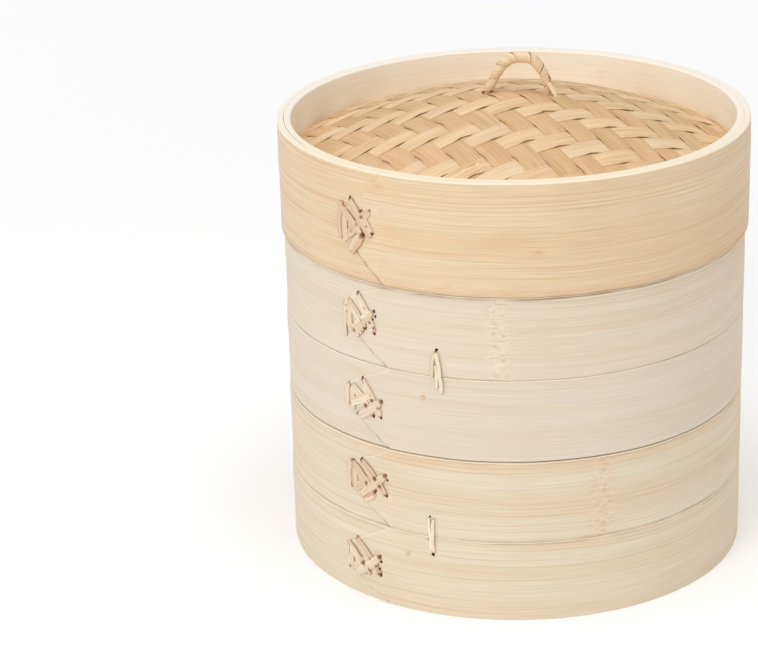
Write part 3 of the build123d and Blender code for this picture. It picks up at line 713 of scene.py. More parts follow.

# ---------------------------------------------------------------- the five outer bands
# strips: azimuth and height of both ends, width, layer; spots: azimuth, height, radius, darkness (holes, and painted
# shade on the strips)
LACES = {
    "lid": dict(R=LID_R_OUT, az=-39.3, zc=170.6,
                strips=[(-42.2, 178.0, -42.6, 163.6, 3.8, 0), (-37.4, 178.0, -34.3, 169.4, 2.6, 0), (-34.9, 178.8, -43.6, 162.6, 3.6, 0), (-40.8, 182.4, -34.5, 167.6, 3.8, 1), (-43.5, 178.2, -37.0, 167.2, 3.4, 1), (-36.9, 168.0, -41.2, 158.4, 4.4, 2), (-43.4, 180.0, -44.1, 163.8, 2.5, 2)],
                spots=[(-40.8, 182.5, 1.0, 0.95), (-37.4, 178.0, 0.8, 0.9), (-37.2, 175.5, 0.8, 0.9), (-34.9, 178.9, 0.75, 0.6), (-38.8, 171.6, 0.8, 0.6), (-36.9, 167.8, 1.15, 1.0), (-37.3, 166.8, 0.8, 0.85), (-35.7, 172.0, 0.7, 0.6), (-34.2, 169.3, 0.75, 0.72), (-34.6, 167.4, 0.6, 0.5), (-43.9, 163.8, 0.7, 0.45), (-42.1, 161.3, 0.7, 0.55), (-41.2, 165.6, 0.6, 0.5), (-40.2, 168.3, 0.7, 0.5)]),
    "upper_top": dict(R=BAND_R_OUT, az=-39.3, zc=131.0,
                      strips=[(-42.6, 134.4, -42.5, 122.4, 3.6, 0), (-37.7, 134.9, -35.1, 127.0, 2.6, 0), (-39.9, 140.7, -35.0, 124.7, 4.0, 0), (-43.0, 137.0, -37.7, 125.6, 4.0, 0), (-35.4, 134.0, -42.0, 124.0, 3.8, 1), (-37.8, 127.6, -41.3, 121.0, 3.8, 2), (-43.7, 133.5, -44.6, 119.6, 2.3, 2)],
                      spots=[(-39.9, 140.8, 0.95, 0.8), (-43.0, 137.0, 0.8, 0.5), (-37.7, 134.9, 0.7, 0.45), (-37.3, 132.2, 0.6, 0.35), (-35.0, 134.3, 0.9, 0.85), (-34.7, 132.1, 0.75, 0.95), (-35.4, 130.6, 0.5, 0.6), (-36.2, 129.0, 0.7, 0.75), (-38.9, 129.4, 0.8, 0.6), (-35.1, 127.0, 0.8, 0.78), (-35.0, 124.6, 0.95, 0.95), (-37.6, 125.8, 0.8, 1.0), (-38.4, 124.2, 0.5, 0.6), (-39.2, 122.6, 0.6, 0.55), (-41.0, 123.8, 0.8, 0.65), (-41.1, 126.8, 0.6, 0.45), (-42.3, 124.4, 0.6, 0.45), (-43.4, 131.0, 0.6, 0.4)]),
    "upper_base": dict(R=BAND_R_OUT, az=-39.0, zc=93.0,
                       strips=[(-42.5, 97.4, -42.4, 86.8, 3.8, 0), (-39.1, 102.6, -33.8, 87.2, 4.2, 0), (-42.4, 98.6, -36.1, 86.8, 4.4, 0), (-36.4, 96.2, -43.1, 89.6, 3.8, 1), (-33.5, 94.2, -41.0, 84.6, 4.2, 2), (-43.6, 98.4, -43.9, 88.4, 3.0, 2)],
                       spots=[(-39.1, 102.7, 0.95, 0.9), (-38.7, 101.2, 0.6, 0.7), (-42.4, 98.7, 0.7, 0.5), (-36.7, 96.0, 0.6, 0.5), (-36.1, 93.9, 0.8, 0.9), (-33.4, 94.4, 0.95, 0.8), (-33.1, 93.0, 0.5, 0.5), (-34.3, 91.2, 0.7, 0.58), (-38.0, 91.0, 0.95, 0.9), (-43.0, 89.8, 0.75, 0.6), (-35.9, 86.8, 1.0, 1.0), (-36.4, 85.9, 0.7, 0.8), (-33.7, 87.0, 0.95, 0.88), (-40.7, 86.5, 0.85, 0.7), (-40.8, 84.5, 0.6, 0.4), (-37.8, 85.0, 0.6, 0.4), (-40.3, 88.6, 0.6, 0.35)]),
    "lower_top": dict(R=BAND_R_OUT, az=-39.0, zc=56.3,
                      strips=[(-42.5, 61.8, -42.2, 49.2, 3.8, 0), (-36.0, 58.6, -43.1, 49.5, 3.8, 0), (-40.1, 65.0, -32.7, 51.4, 4.2, 1), (-43.1, 62.9, -36.1, 51.6, 4.2, 1), (-35.9, 51.0, -40.0, 46.0, 3.2, 0), (-32.8, 60.5, -40.4, 48.4, 4.0, 2), (-43.5, 63.0, -44.3, 50.0, 2.8, 2)],
                      spots=[(-40.1, 65.1, 1.15, 0.85), (-43.1, 63.0, 0.9, 0.6), (-43.6, 61.0, 0.6, 0.45), (-35.8, 58.3, 1.0, 1.0), (-38.5, 54.7, 0.9, 0.82), (-37.2, 56.6, 0.55, 0.55), (-32.8, 60.6, 0.9, 0.82), (-32.3, 58.6, 0.75, 0.68), (-34.3, 55.1, 0.95, 0.88), (-33.3, 56.9, 0.5, 0.55), (-36.0, 51.7, 0.95, 0.84), (-36.3, 50.1, 0.65, 0.62), (-32.6, 51.3, 1.0, 0.88), (-43.1, 49.4, 0.9, 0.72), (-40.2, 48.3, 0.75, 0.62), (-39.9, 46.2, 0.8, 0.52), (-41.3, 51.5, 0.6, 0.4)]),
    "lower_base": dict(R=BAND_R_OUT, az=-40.5, zc=18.2,
                       strips=[(-44.3, 22.4, -44.3, 10.4, 3.6, 0), (-38.0, 19.3, -45.0, 10.8, 3.8, 0), (-42.5, 26.8, -35.1, 13.0, 4.2, 1), (-45.2, 23.5, -38.2, 11.3, 4.0, 1), (-35.0, 21.3, -42.9, 9.4, 4.0, 2), (-45.2, 22.6, -46.0, 10.8, 2.6, 2)],
                       spots=[(-42.5, 26.9, 0.85, 0.75), (-45.3, 23.6, 0.8, 0.4), (-45.0, 22.3, 0.55, 0.4), (-35.0, 21.4, 1.0, 0.92), (-34.7, 19.1, 0.7, 0.64), (-38.0, 19.4, 0.8, 0.6), (-36.1, 16.6, 0.7, 0.72), (-40.1, 16.2, 1.05, 0.88), (-40.7, 15.7, 0.7, 0.6), (-38.3, 14.0, 0.75, 0.66), (-35.2, 15.5, 0.7, 0.64), (-35.0, 12.9, 1.15, 0.92), (-39.1, 11.5, 0.7, 0.45), (-38.1, 11.0, 0.6, 0.4), (-45.1, 10.7, 0.7, 0.4), (-43.0, 9.5, 0.8, 0.5)]),
}
# ties: the hole at the top, then strips (azimuth and height of both ends, width, bow), then a hole below if one shows
TIES = {
    "upper": ((-18.5, 121.9, 0.85), [(-18.8, 121.2, -19.6, 109.6, 1.5, -0.5), (-18.5, 121.4, -17.3, 102.4, 1.9, 0.35), (-18.7, 116.0, -18.3, 104.8, 1.3, 0.0)], None),
    "lower": ((-20.9, 45.8, 0.55), [(-21.2, 45.6, -20.1, 29.0, 1.5, -0.25), (-19.9, 45.4, -20.0, 28.7, 1.6, -0.35), (-21.6, 35.4, -20.5, 29.4, 1.1, 0.2)], (-20.2, 28.3, 0.85)),
}

edge_wave = {k: waves(40 + k, (2, 3, 5, 7, 11, 17, 23), 0.14) for k in range(4)}
flat = lambda az: 0 * az
rim_wave = waves(60, (2, 3, 4), 0.1)
rim_top = lambda az: rim_wave(az) - 0.14


def low(f, gap):
    return lambda az: f(az) + gap * (0.6 + 0.4 * np.sin(np.radians(az * 3 + gap * 900)))


LAPS = {}
BANDS = [
    # key, node, body, slot, r_in, r_out, z0, z1, lower edge, upper edge
    ("lower_base", "lower_tier_base_band", "lower_tier", "lower_tier_bamboo", BAND_R_IN, BAND_R_OUT, 0.0, SEAM, flat, lambda az: edge_wave[0](az) - 0.02),
    ("lower_top", "lower_tier_top_band", "lower_tier", "lower_tier_bamboo", BAND_R_IN, BAND_R_OUT, SEAM, 73.2, low(edge_wave[0], 0.07), lambda az: edge_wave[1](az) - 0.16),
    ("upper_base", "upper_tier_base_band", "upper_tier", "upper_tier_bamboo", BAND_R_IN, BAND_R_OUT, 73.5, 110.0, lambda az: edge_wave[1](az) + 0.14, lambda az: edge_wave[2](az) - 0.02),
    ("upper_top", "upper_tier_top_band", "upper_tier", "upper_tier_bamboo", BAND_R_IN, BAND_R_OUT, 110.0, 146.7, low(edge_wave[2], 0.1), lambda az: edge_wave[3](az) - 0.16),
    ("lid", "lid_hoop", "lid", "lid_bamboo", LID_R_IN, LID_R_OUT, 147.0, 196.0, lambda az: edge_wave[3](az) + 0.14, lambda az: rim_top(az)),
]
SCARS = {
    "lid": [(148, 3.4, 0.75), (-32, 2.2, 0.3)],
    "upper_top": [(-3.7, 2.9, 0.95), (171, 3.2, 0.8)],
    "upper_base": [(118, 3.2, 0.8), (-128, 3.0, 0.7)],
    "lower_top": [(21, 3.2, 0.85), (-140, 3.4, 0.8)],
    "lower_base": [(96, 3.2, 0.8), (-112, 3.2, 0.8)],
}
STAINS = {
    "lid": [(15, 147.6, 130, 2.4, 0.5), (-2, 172, 6, 4, 0.28), (-15, 152, 1.2, 0.9, 0.5), (-33, 190, 2.0, 3.5, 0.45), (-30, 172, 5, 3, 0.25), (5.3, 166, 1.8, 0.9, 0.4), (40, 160, 14, 3, 0.15), (110, 180, 9, 4, 0.3), (200, 160, 12, 5, 0.3), (255, 176, 8, 4, 0.25)],
    "upper_top": [(60, 145.2, 50, 1.7, 0.5), (-34, 143, 4, 2.5, 0.3), (70, 130, 10, 4, 0.25), (220, 126, 12, 5, 0.3)],
    "upper_base": [(-42, 106, 5, 3, 0.5), (60, 88, 9, 4, 0.2), (190, 92, 14, 5, 0.3)],
    "lower_top": [(10, 72.4, 110, 2.4, 0.5), (-0.5, 67, 0.9, 0.9, 0.6), (-1, 66, 7, 2.5, 0.2), (55, 59, 1.6, 2.5, 0.35), (-28, 70, 9, 1.6, 0.3), (150, 60, 12, 5, 0.3)],
    "lower_base": [(30, 35.4, 60, 1.6, 0.3), (-30, 31, 8, 2.2, 0.3), (0, 6, 24, 2.4, 0.28), (45, 8, 16, 3, 0.25), (170, 20, 14, 5, 0.3)],
}
for i, (key, node, body, slot, r_in, r_out, z0, z1, lo, hi) in enumerate(BANDS):
    L = LACES[key]
    LAPS[key] = Lap(L["zc"], az=L["az"] if key == "lower_base" else -39.3, lo=L["zc"] - z0 - 0.6, hi=z1 - L["zc"] - 0.6)
    holes = []
    for h in sorted(L["spots"], key=lambda h: -h[3]):
        far = all(math.hypot(math.radians(h[0] - o[0]) * r_out, h[1] - o[1]) > 1.3 * (0.82 * h[2] + o[2]) for o in holes)
        if h[3] >= 0.58 and far:
            holes.append((h[0], h[1], h[2] * 0.82))
    tie = TIES.get(key.split("_")[0])
    if tie is not None:
        for k in range(3):
            h = tie[0] if key.endswith("top") else tie[2]
            if h:
                holes.append((h[0] + 120 * k, h[1], h[2]))
    # the seam values paint shade in the seams and under the lid's overhang, with some dust
    hoop(node, body, [node], slot, M[key], r_in, r_out, z0, z1, LAPS[key], 11 + i, lo, hi, scars=SCARS[key], stains=STAINS[key], holes=holes, corner=0.5 if key != "lid" else 0.7, top_in=0.1 if key == "lid" else None, bottom_rim=0.0 if key == "lid" else 0.3, lit=0.85 if key == "upper_top" else 0.0, seam_shade_and_dust={"lid": (0, 1, 0.3, 0.9), "upper_top": (0.46, 1.6, 0.3, 0.7), "upper_base": (0.25, 0.8, 0.16, 0.6), "lower_top": (0.3, 1.1, 0.26, 1.2), "lower_base": (0.3, 1.4, 0.1, 0.5)}[key])

# ---------------------------------------------------------------- lacings
LIFT = {0: 0.18, 1: 0.42, 2: 0.62}
for i, (key, node, body, slot, r_in, r_out, z0, z1, lo, hi) in enumerate(BANDS):
    L = LACES[key]
    b = Builder()
    for j, (a0, za, a1, zb, w, layer) in enumerate(L["strips"]):
        upright = abs(a1 - a0) < 1.2
        to_mm = lambda a: math.radians(a - L["az"]) * r_out
        bow = -0.6 if upright else 0.2 * (-1) ** j
        # a wide run is two turns of the strip side by side, in the same holes
        for k, side in enumerate((-1, 1) if w >= 3.1 else (0,)):
            laid(b, r_out, L["az"], (to_mm(a0), za), (to_mm(a1), zb), w * (0.93 if side == 0 else 0.6), 0.4, LIFT[layer] + 0.07 * k, 100 * (i + 1) + j + 40 * k, lap=LAPS[key], bow=bow + side * 0.23 * w, power=0.42, taper=0.5 if side == 0 else 0.7, spots=L["spots"])
    if key == "lid":
        lace_node = "lid_lacing"
    else:
        tier_, which = key.split("_")
        lace_node = tier_ + "_tier_" + which + "_lacing"
    piece(lace_node, b.mesh(lace_node, 50), body, [lace_node], "rattan", M["rattan"] if key in ("lid", "lower_top") else M["rattan_pale"])

# ---------------------------------------------------------------- ties
for name, (top, strips, foot) in TIES.items():
    b = Builder()
    for k in range(3):
        for j, (a0, za, a1, zb, w, bow) in enumerate(strips):
            sd = 900 + 10 * k + j + (50 if name == "lower" else 0)
            az = top[0] + 120 * k
            to_mm = lambda a: math.radians(a - top[0]) * BAND_R_OUT
            # painted shade on the strips beside the lower hole
            laid(b, BAND_R_OUT, az, (to_mm(a0), za), (to_mm(a1), zb), w, 0.8, 0.3 + 0.18 * (j % 2), sd, bow=bow, power=0.8, taper=0.5, dive=1.5, n=28, bulge=0.22, ext=0.5, neck=2.6, spots=[(foot[0] + 120 * k, foot[1] + 0.6, 1.0, 0.6)] if foot else ())
            if j < 2:
                laid(b, 95.3, az, (to_mm(a0), za), (to_mm(a1), zb - 0.6), 1.5, 1.0, 0.4 + 0.3 * j, sd + 500, power=0.85, taper=0.7, dive=1.4, n=20, out=-1.0)
    node = name + "_tier_ties"
    piece(node, b.mesh(node, 60), name + "_tier", [node], "rattan", M["tie"])


# ---------------------------------------------------------------- inner hoops and slat rings
def z_of(node):
    lo_, hi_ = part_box(node)
    return lo_.z / MM, hi_.z / MM


for t, (tier, z0) in enumerate((("lower_tier", 0.0), ("upper_tier", TIER_PITCH))):
    zl = z0 + 82.5
    seam = Lap(z0 + 40, az=158 + 23 * t, tongue=False, step=0.35, fade=50)
    hoop(tier + "_inner_hoop", tier, [tier + "_inner_hoop"], "inner_bamboo", M["inner"], 95.3, 97.95, z0 + 10.0, zl, seam, 31 + t, corner=0.8, belly=0.0, scars=[(60 + 40 * t, 3.2, 0.6), (250 + 30 * t, 3.2, 0.6)], stains=[(200, z0 + 70, 14, 6, 0.3)])
    for part, sd, azl in (("support_ring", 35, 205), ("retaining_ring", 37, 118)):
        node = tier + "_" + part
        a_, b_ = z_of(node)
        hoop(node, tier, [node], "inner_bamboo", M["inner"], 92.2, 95.15, a_, b_, Lap((a_ + b_) / 2, az=azl + 30 * t, tongue=False, step=0.8, fade=25), sd + t, corner=0.7, belly=0.0)

a_, b_ = z_of("lid_rim_hoop")
hoop("lid_rim_hoop", "lid", ["lid_rim_hoop"], "inner_bamboo", M["rim"], 96.6, 99.86, a_ - 1.3, b_, Lap((a_ + b_) / 2, az=-62, tongue=False, step=0.2, fade=30), 51, hi=lambda az: rim_top(az) - 0.03, corner=0.7, top_out=0.1, belly=0.0, scars=[(20, 3.0, 0.5)], stains=[(150, 190, 16, 5, 0.2), (222, 186, 10, 4, 0.25), (185, 183, 20, 2, 0.25)])
a_, b_ = z_of("lid_bearing_hoop")
hoop("lid_bearing_hoop", "lid", ["lid_bearing_hoop"], "inner_bamboo", M["inner"], 96.6, 99.6, a_, b_, Lap((a_ + b_) / 2, az=62, tongue=False, step=0.5, fade=30), 53, corner=0.6, belly=0.0, scars=[(20, 3.0, 0.6)])


# ---------------------------------------------------------------- straight strips trimmed to a round wall
def bar(b, axis, at, w, z_lo, z_hi, R, seed, n=44, corner=0.7, arch=None, wob=0.12, sag=0.0):
    """A strip along X (axis 0) or Y (axis 1), centred at `at` across, trimmed where it meets the circle of radius R."""
    g = np.random.default_rng(seed)
    h = z_hi - z_lo
    m = 20
    ang = np.linspace(0, 2 * math.pi, m, endpoint=False)
    cs, sn = np.cos(ang), np.sin(ang)
    y = np.sign(cs) * np.abs(cs) ** (0.28 if corner < 1 else 0.4) * w / 2
    z = np.sign(sn) * np.abs(sn) ** (0.42 if corner < 1 else 0.5) * h / 2
    s = np.linspace(-1, 1, n)
    f1, f2 = g.uniform(1.5, 4.5, 2)
    p1, p2, p3 = g.uniform(0, 6.28, 3)
    P = np.zeros((n, m, 3))
    for i, si in enumerate(s):
        edge = 1 - wob / w * (1 + np.sin(si * f1 * 3 + p1))
        shift = wob * np.sin(si * f2 + p2)
        yy = y * edge + shift + at
        xe = np.sqrt(np.maximum(R * R - yy * yy, 1.0))
        x = si * xe
        zz = z + (z_lo + z_hi) / 2 - (1 + np.sin(si * 2 + p3)) * sag
        if arch is not None:
            zz = zz - (z_lo + z_hi) / 2 + arch(np.hypot(x, yy))
        P[i] = np.stack([x, yy, zz] if axis == 0 else [yy, x, zz], -1)
    yw = np.append(y, y[0])
    arc = np.append(np.concatenate([[0], np.cumsum(np.hypot(np.diff(y), np.diff(z)))]), 2 * (w + h) - 0.4)
    fib = np.zeros((n, m + 1, 2))
    fib[..., 0] = (s[:, None] * R) * MM + seed * 0.37
    fib[..., 1] = arc[None, :] * MM + seed * 0.19
    aux = np.zeros((n, m + 1, 2))
    aux[0, :, 0] = aux[-1, :, 0] = 0.7
    mark = np.zeros((n, m + 1, 2))
    c = g.uniform(-0.8, 0.8)
    mark[..., 0] = (0.8 * np.exp(-np.abs((s - c) * R / 3.5) ** 3))[:, None]
    b.grid(P, fib, aux, mark)


for t, (tier, z0) in enumerate((("lower_tier", 0.0), ("upper_tier", TIER_PITCH))):
    for i in range(13):
        node = "%s_slat_%02d" % (tier, i + 1)
        b = Builder()
        g = np.random.default_rng(300 + 20 * t + i)
        bar(b, 0, -(i - 6) * 14.0, 11.0 - g.uniform(0, 0.5), z0 + 22.03, z0 + 24.45 - g.uniform(0, 0.25), 94.9, 300 + 20 * t + i)
        piece(node, b.mesh(node, 35), tier, [node], "slat_bamboo", M["slat"])
    for side, x in (("left", -42.0), ("right", 42.0)):
        node = tier + "_crossbar_" + side
        b = Builder()
        bar(b, 1, x, 8.9, z0 + 16.03, z0 + 21.97, 94.9, 360 + 4 * t + (x > 0), corner=1.2)
        piece(node, b.mesh(node, 35), tier, [node], "slat_bamboo", M["slat"])
b = Builder()
bar(b, 0, 0.5, 8.9, 0, 1.95, 96.2, 371, n=70, arch=lambda r: dome_z(r) - 3.5 - 1.0)
piece("lid_rib_long", b.mesh("lid_rib_long", 35), "lid", ["lid_rib_long"], "slat_bamboo", M["slat"])
b = Builder()
bar(b, 1, 0.0, 8.9, 0, 1.95, 96.2, 372, n=70, arch=lambda r: dome_z(r) - 5.55 - 1.0)
piece("lid_rib_cross", b.mesh("lid_rib_cross", 35), "lid", ["lid_rib_cross"], "slat_bamboo", M["slat"])

# ---------------------------------------------------------------- woven dome
# Openings between strips, by lattice place: a wide one reads as a dark lens. (kind, s, t): width in mm
GAPS = {
    ("a", -2, -5): 0.5, ("a", -1, -4): 0.7, ("a", 0, -3): 0.9, ("a", 1, -2): 1.5, ("a", 2, -1): 0.8, ("a", 3, 0): 1.2, ("a", 4, 1): 0.9,
    ("a", 5, 2): 1.1, ("a", 1, -6): 1.5, ("a", 2, -5): 0.8, ("a", 3, -4): 0.9, ("a", 4, -3): 0.7, ("a", 5, -2): 1.8, ("a", 6, -1): 0.6,
    ("a", 7, 0): 1.1, ("a", 8, 1): 0.6, ("a", 9, 2): 1.0, ("a", 9, -2): 1.1, ("a", 10, -1): 0.6, ("a", 11, 0): 1.1, ("a", 13, -2): 1.2,
    ("a", 14, -5): 1.5, ("a", 0, -7): 0.5, ("a", -1, -8): 0.7, ("a", 0, 1): 1.3, ("a", -1, 0): 0.5,
    ("b", -3, -3): 0.9, ("b", -2, -2): 0.7, ("b", -1, -1): 0.6, ("b", 0, 0): 0.6, ("b", 1, 1): 0.9, ("b", 0, -4): 1.0, ("b", 2, -2): 0.8,
    ("b", 3, -5): 0.9,
}
GAPS = {k: 1.7 * v for k, v in GAPS.items()}


def over_b(s, t):
    return (s - t) % 4 in (0, 1)


def transitions(x, up):
    """Height of a strip at x, in cells, where up(n) says whether cell n lies on top: -1 to 1, and the float's bulge."""
    n = int(math.floor(x + 0.5))
    here = 1.0 if up(n) else -1.0
    left, right = 1.0, 1.0
    k = 0
    while up(n - k - 1) == up(n) and k < 3:
        k += 1
    dl = x - (n - k - 0.5)
    k = 0
    while up(n + k + 1) == up(n) and k < 3:
        k += 1
    dr = (n + k + 0.5) - x
    d = min(dl, dr)
    span = dl + dr
    return here, d, span, dl


def weave(kind, name, body, nodes, slot, mats, mid, a, b_, O, R, seed, H=0.33, thick=0.45, step=1.35, m_half=5, gaps=None, gap_lo=0.12, gap_hi=1.5, bulge=0.2, scars=()):
    """The strips of one direction of a 2/2 twill sheet on the dome. kind is 'a' or 'b'."""
    B = Builder()
    own, other = (a, b_) if kind == "a" else (b_, a)
    L = np.hypot(*own)
    pitch = np.hypot(*other)
    e = own / L
    nrm = other - e * (other @ e)
    wpitch = np.hypot(*nrm)
    nrm = nrm / wpitch
    g = np.random.default_rng(seed)
    lim = int(2.3 * R / pitch)
    M2 = 2 * m_half
    for k in range(-lim, lim + 1):
        base = O + k * other
        c = base @ nrm  # signed distance of the strip's line from the axis
        if abs(c) - wpitch / 2 > R - 1.0:
            continue
        tone = g.uniform(0, 1)
        shift = g.uniform(-0.16, 0.16)
        wmul = g.uniform(0.985, 1.0)
        gseam = np.random.default_rng(seed * 1000 + k + 500)
        s0 = base @ e  # place of cell 0 along the strip's line
        if kind == "a":
            up = lambda n, k=k: not over_b(n, k)
        else:
            up = lambda n, k=k: over_b(k, n)
        ymin = max(0.0, abs(c) - wpitch / 2)
        xm = math.sqrt(R * R - ymin * ymin) if ymin < R else 0
        if xm < 3:
            continue
        xs = np.arange(-xm + 0.01, xm, step)
        # extra columns at the transitions
        n_lo, n_hi = int((-xm - s0) / L) - 2, int((xm - s0) / L) + 2
        extra = []
        for n in range(n_lo, n_hi):
            if up(n) != up(n + 1):
                q = s0 + (n + 0.5) * L
                extra += [q - 0.75, q - 0.35, q, q + 0.35, q + 0.75]
        xs = np.unique(np.concatenate([xs, [v for v in extra if -xm < v < xm], [xm - 0.01]]))
        keep = np.concatenate([[True], np.diff(xs) > 0.18])
        xs = xs[keep]

        def seam_amp(side, n):
            """Width of the opening beside this strip at cell n, on its + or - side."""
            kk = k if side > 0 else k - 1
            if kind == "a":
                t_, s_ = kk, n
                if (s_ - t_) % 4 != 3:
                    return 0.06
                key = ("a", s_, t_)
            else:
                s_, t_ = kk, n
                if (s_ - t_) % 4 != 0:
                    return 0.06
                key = ("b", s_, t_)
            if gaps and key in gaps:
                return gaps[key]
            gg = np.random.default_rng(abs(hash_(key)) + seed_pair)
            x = gg.uniform()
            return gap_lo + (gap_hi - gap_lo) * (x ** 2.6)

        P, fibs, auxs, marks = [], [], [], []
        for x in xs:
            q = (x - s0) / L
            here, d, span, dl = transitions(q, up)
            hgt = here * math.tanh(d * L / 0.95) * H
            lift = 0.0
            if here > 0:
                lift = bulge * max(0.0, math.sin(math.pi * dl / span)) ** 0.8
            nn = int(math.floor(q + 0.5))
            half = []
            for side in (1, -1):
                gap = 0.02
                place = -0.42 if kind == "a" else 0.5
                for n in (nn - 1, nn, nn + 1):
                    am = seam_amp(side, n)
                    if am > 0.1:
                        gap = max(gap, am * math.exp(-((q - n - place) / 0.3) ** 2))
                half.append(wpitch / 2 * wmul - gap / 2)
            # this strip's edges lie over the other direction's strips, so float edges may run a little wide
            y_hi = c + shift + half[0]
            y_lo = c + shift - half[1]
            ylim = math.sqrt(max(R * R - x * x, 0.02))
            y_hi, y_lo = min(y_hi, ylim), max(y_lo, -ylim)
            if y_hi - y_lo < 0.05:
                mid_y = min(max(c, -ylim), ylim)
                y_hi, y_lo = mid_y + 0.03, mid_y - 0.03
            f = np.linspace(-1, 1, m_half)
            yy = (y_hi + y_lo) / 2 + (y_hi - y_lo) / 2 * f
            r = np.hypot(x, yy)
            fade = 1 - 0.55 * smooth((r - 92.5) / 4.0)
            zc = dome_z(np.minimum(r, 99.4)) - mid
            crown = 0.10 * (1 - f ** 2)
            zt = zc + (hgt + lift) * fade + thick / 2 + crown - 0.10 * np.abs(f) ** 6
            zb = zc + (hgt + lift) * fade - thick / 2 + crown * 0.6 + 0.04 * np.abs(f) ** 6
            top = np.stack([e[0] * x + nrm[0] * yy, e[1] * x + nrm[1] * yy, zt], -1)
            bot = np.stack([e[0] * x + nrm[0] * yy, e[1] * x + nrm[1] * yy, zb], -1)[::-1]
            P.append(np.concatenate([top, bot]))
            fv = np.concatenate([yy - c, (yy - c)[::-1] + 20, [yy[0] - c + 40]])
            fibs.append(np.stack([np.full(M2 + 1, x) * MM + seed * 0.7 + k * 0.31, (fv + 7.7 * k) * MM + 3.1], -1))
            ax = np.zeros((M2 + 1, 2))
            ax[:, 0] = tone
            auxs.append(ax)
            mk = np.zeros((M2 + 1, 2))
            for (sx_, sy_, sr) in scars:
                px, py = e[0] * x + nrm[0] * (y_hi + y_lo) / 2, e[1] * x + nrm[1] * (y_hi + y_lo) / 2
                mk[:, 0] = max(mk[0, 0], math.exp(-(((px - sx_) ** 2 + (py - sy_) ** 2) / sr ** 2) ** 1.5))
            # painted shade along the strip's edges
            mk[m_half - 1: m_half + 1, 1] = 0.1
            mk[0, 1] = mk[-1, 1] = mk[-2, 1] = 0.1
            marks.append(mk)
        B.grid(np.array(P), np.array(fibs), np.array(auxs), np.array(marks))
    return piece(name, B.mesh(name, 50), body, nodes, slot, *mats)


seed_pair = 4242


def hash_(key):
    k, s, t = key
    return (97 if k == "a" else 193) + (s + 64) * 7919 + (t + 64) * 104729


weave("a", "lid_woven_cap_a", "lid", ["lid_woven_cap"], "woven_bamboo", [M["weave_a"]], 0.75, A_STRIP, B_STRIP, WEAVE_O, 98.9, 21, gaps=GAPS, scars=[(-15, -62, 9)])
weave("b", "lid_woven_cap_b", "lid", ["lid_woven_cap"], "woven_bamboo", [M["weave_b"]], 0.75, A_STRIP, B_STRIP, WEAVE_O, 98.9, 22, gaps=GAPS)
ROT = lambda v, d: np.array([v[0] * math.cos(math.radians(d)) - v[1] * math.sin(math.radians(d)), v[0] * math.sin(math.radians(d)) + v[1] * math.cos(math.radians(d))])
weave("a", "lid_cap_lining_a", "lid", ["lid_cap_lining"], "woven_bamboo", [M["weave_a"]], 2.65, ROT(A_STRIP, 14) * 1.2, ROT(B_STRIP, 14) * 1.3, np.array([2.0, 3.0]), 98.9, 24, step=2.2, m_half=4)
weave("b", "lid_cap_lining_b", "lid", ["lid_cap_lining"], "woven_bamboo", [M["weave_b"]], 2.65, ROT(A_STRIP, 14) * 1.2, ROT(B_STRIP, 14) * 1.3, np.array([2.0, 3.0]), 98.9, 25, step=2.2, m_half=4)

# ---------------------------------------------------------------- handle
HY = 0.5
ROUTE = np.array([(-11.4, 196.6), (-11.6, 200.8), (-10.6, 205.0), (-8.4, 209.4), (-6.1, 213.9), (-3.7, 216.9), (-0.8, 218.9), (2.8, 219.5), (6.3, 219.3), (9.6, 217.6), (12.4, 213.9), (14.6, 209.6), (15.3, 205.0), (15.3, 200.6), (15.2, 196.6)])


def catmull(P, k=14):
    out = []
    Q = np.vstack([2 * P[0] - P[1], P, 2 * P[-1] - P[-2]])
    for i in range(1, len(Q) - 2):
        p0, p1, p2, p3 = Q[i - 1:i + 3]
        for t in np.linspace(0, 1, k, endpoint=False):
            out.append(0.5 * ((2 * p1) + (-p0 + p2) * t + (2 * p0 - 5 * p1 + 4 * p2 - p3) * t * t + (-p0 + 3 * p1 - 3 * p2 + p3) * t ** 3))
    out.append(Q[-2])
    return np.array(out)


def resample(P, n):
    s = np.concatenate([[0], np.cumsum(np.linalg.norm(np.diff(P, axis=0), axis=1))])
    q = np.linspace(0, s[-1], n)
    return np.stack([np.interp(q, s, P[:, i]) for i in range(P.shape[1])], -1), q


path2, _ = resample(catmull(ROUTE), 240)
path3 = np.stack([path2[:, 0], HY + 0.25 * np.sin(path2[:, 0] * 0.35), path2[:, 1]], -1)
plen = np.concatenate([[0], np.cumsum(np.linalg.norm(np.diff(path3, axis=0), axis=1))])


def along_path(s):
    p = np.stack([np.interp(s, plen, path3[:, i]) for i in range(3)], -1)
    p2_ = np.stack([np.interp(s + 0.4, plen, path3[:, i]) for i in range(3)], -1)
    p1_ = np.stack([np.interp(s - 0.4, plen, path3[:, i]) for i in range(3)], -1)
    T = p2_ - p1_
    T = T / np.linalg.norm(T, axis=-1, keepdims=True)
    Bn = np.zeros_like(T)
    Bn[..., 1] = 1.0
    Bn = Bn - T * (Bn * T).sum(-1, keepdims=True)
    Bn = Bn / np.linalg.norm(Bn, axis=-1, keepdims=True)
    N = np.cross(Bn, T)
    return p, T, N, Bn


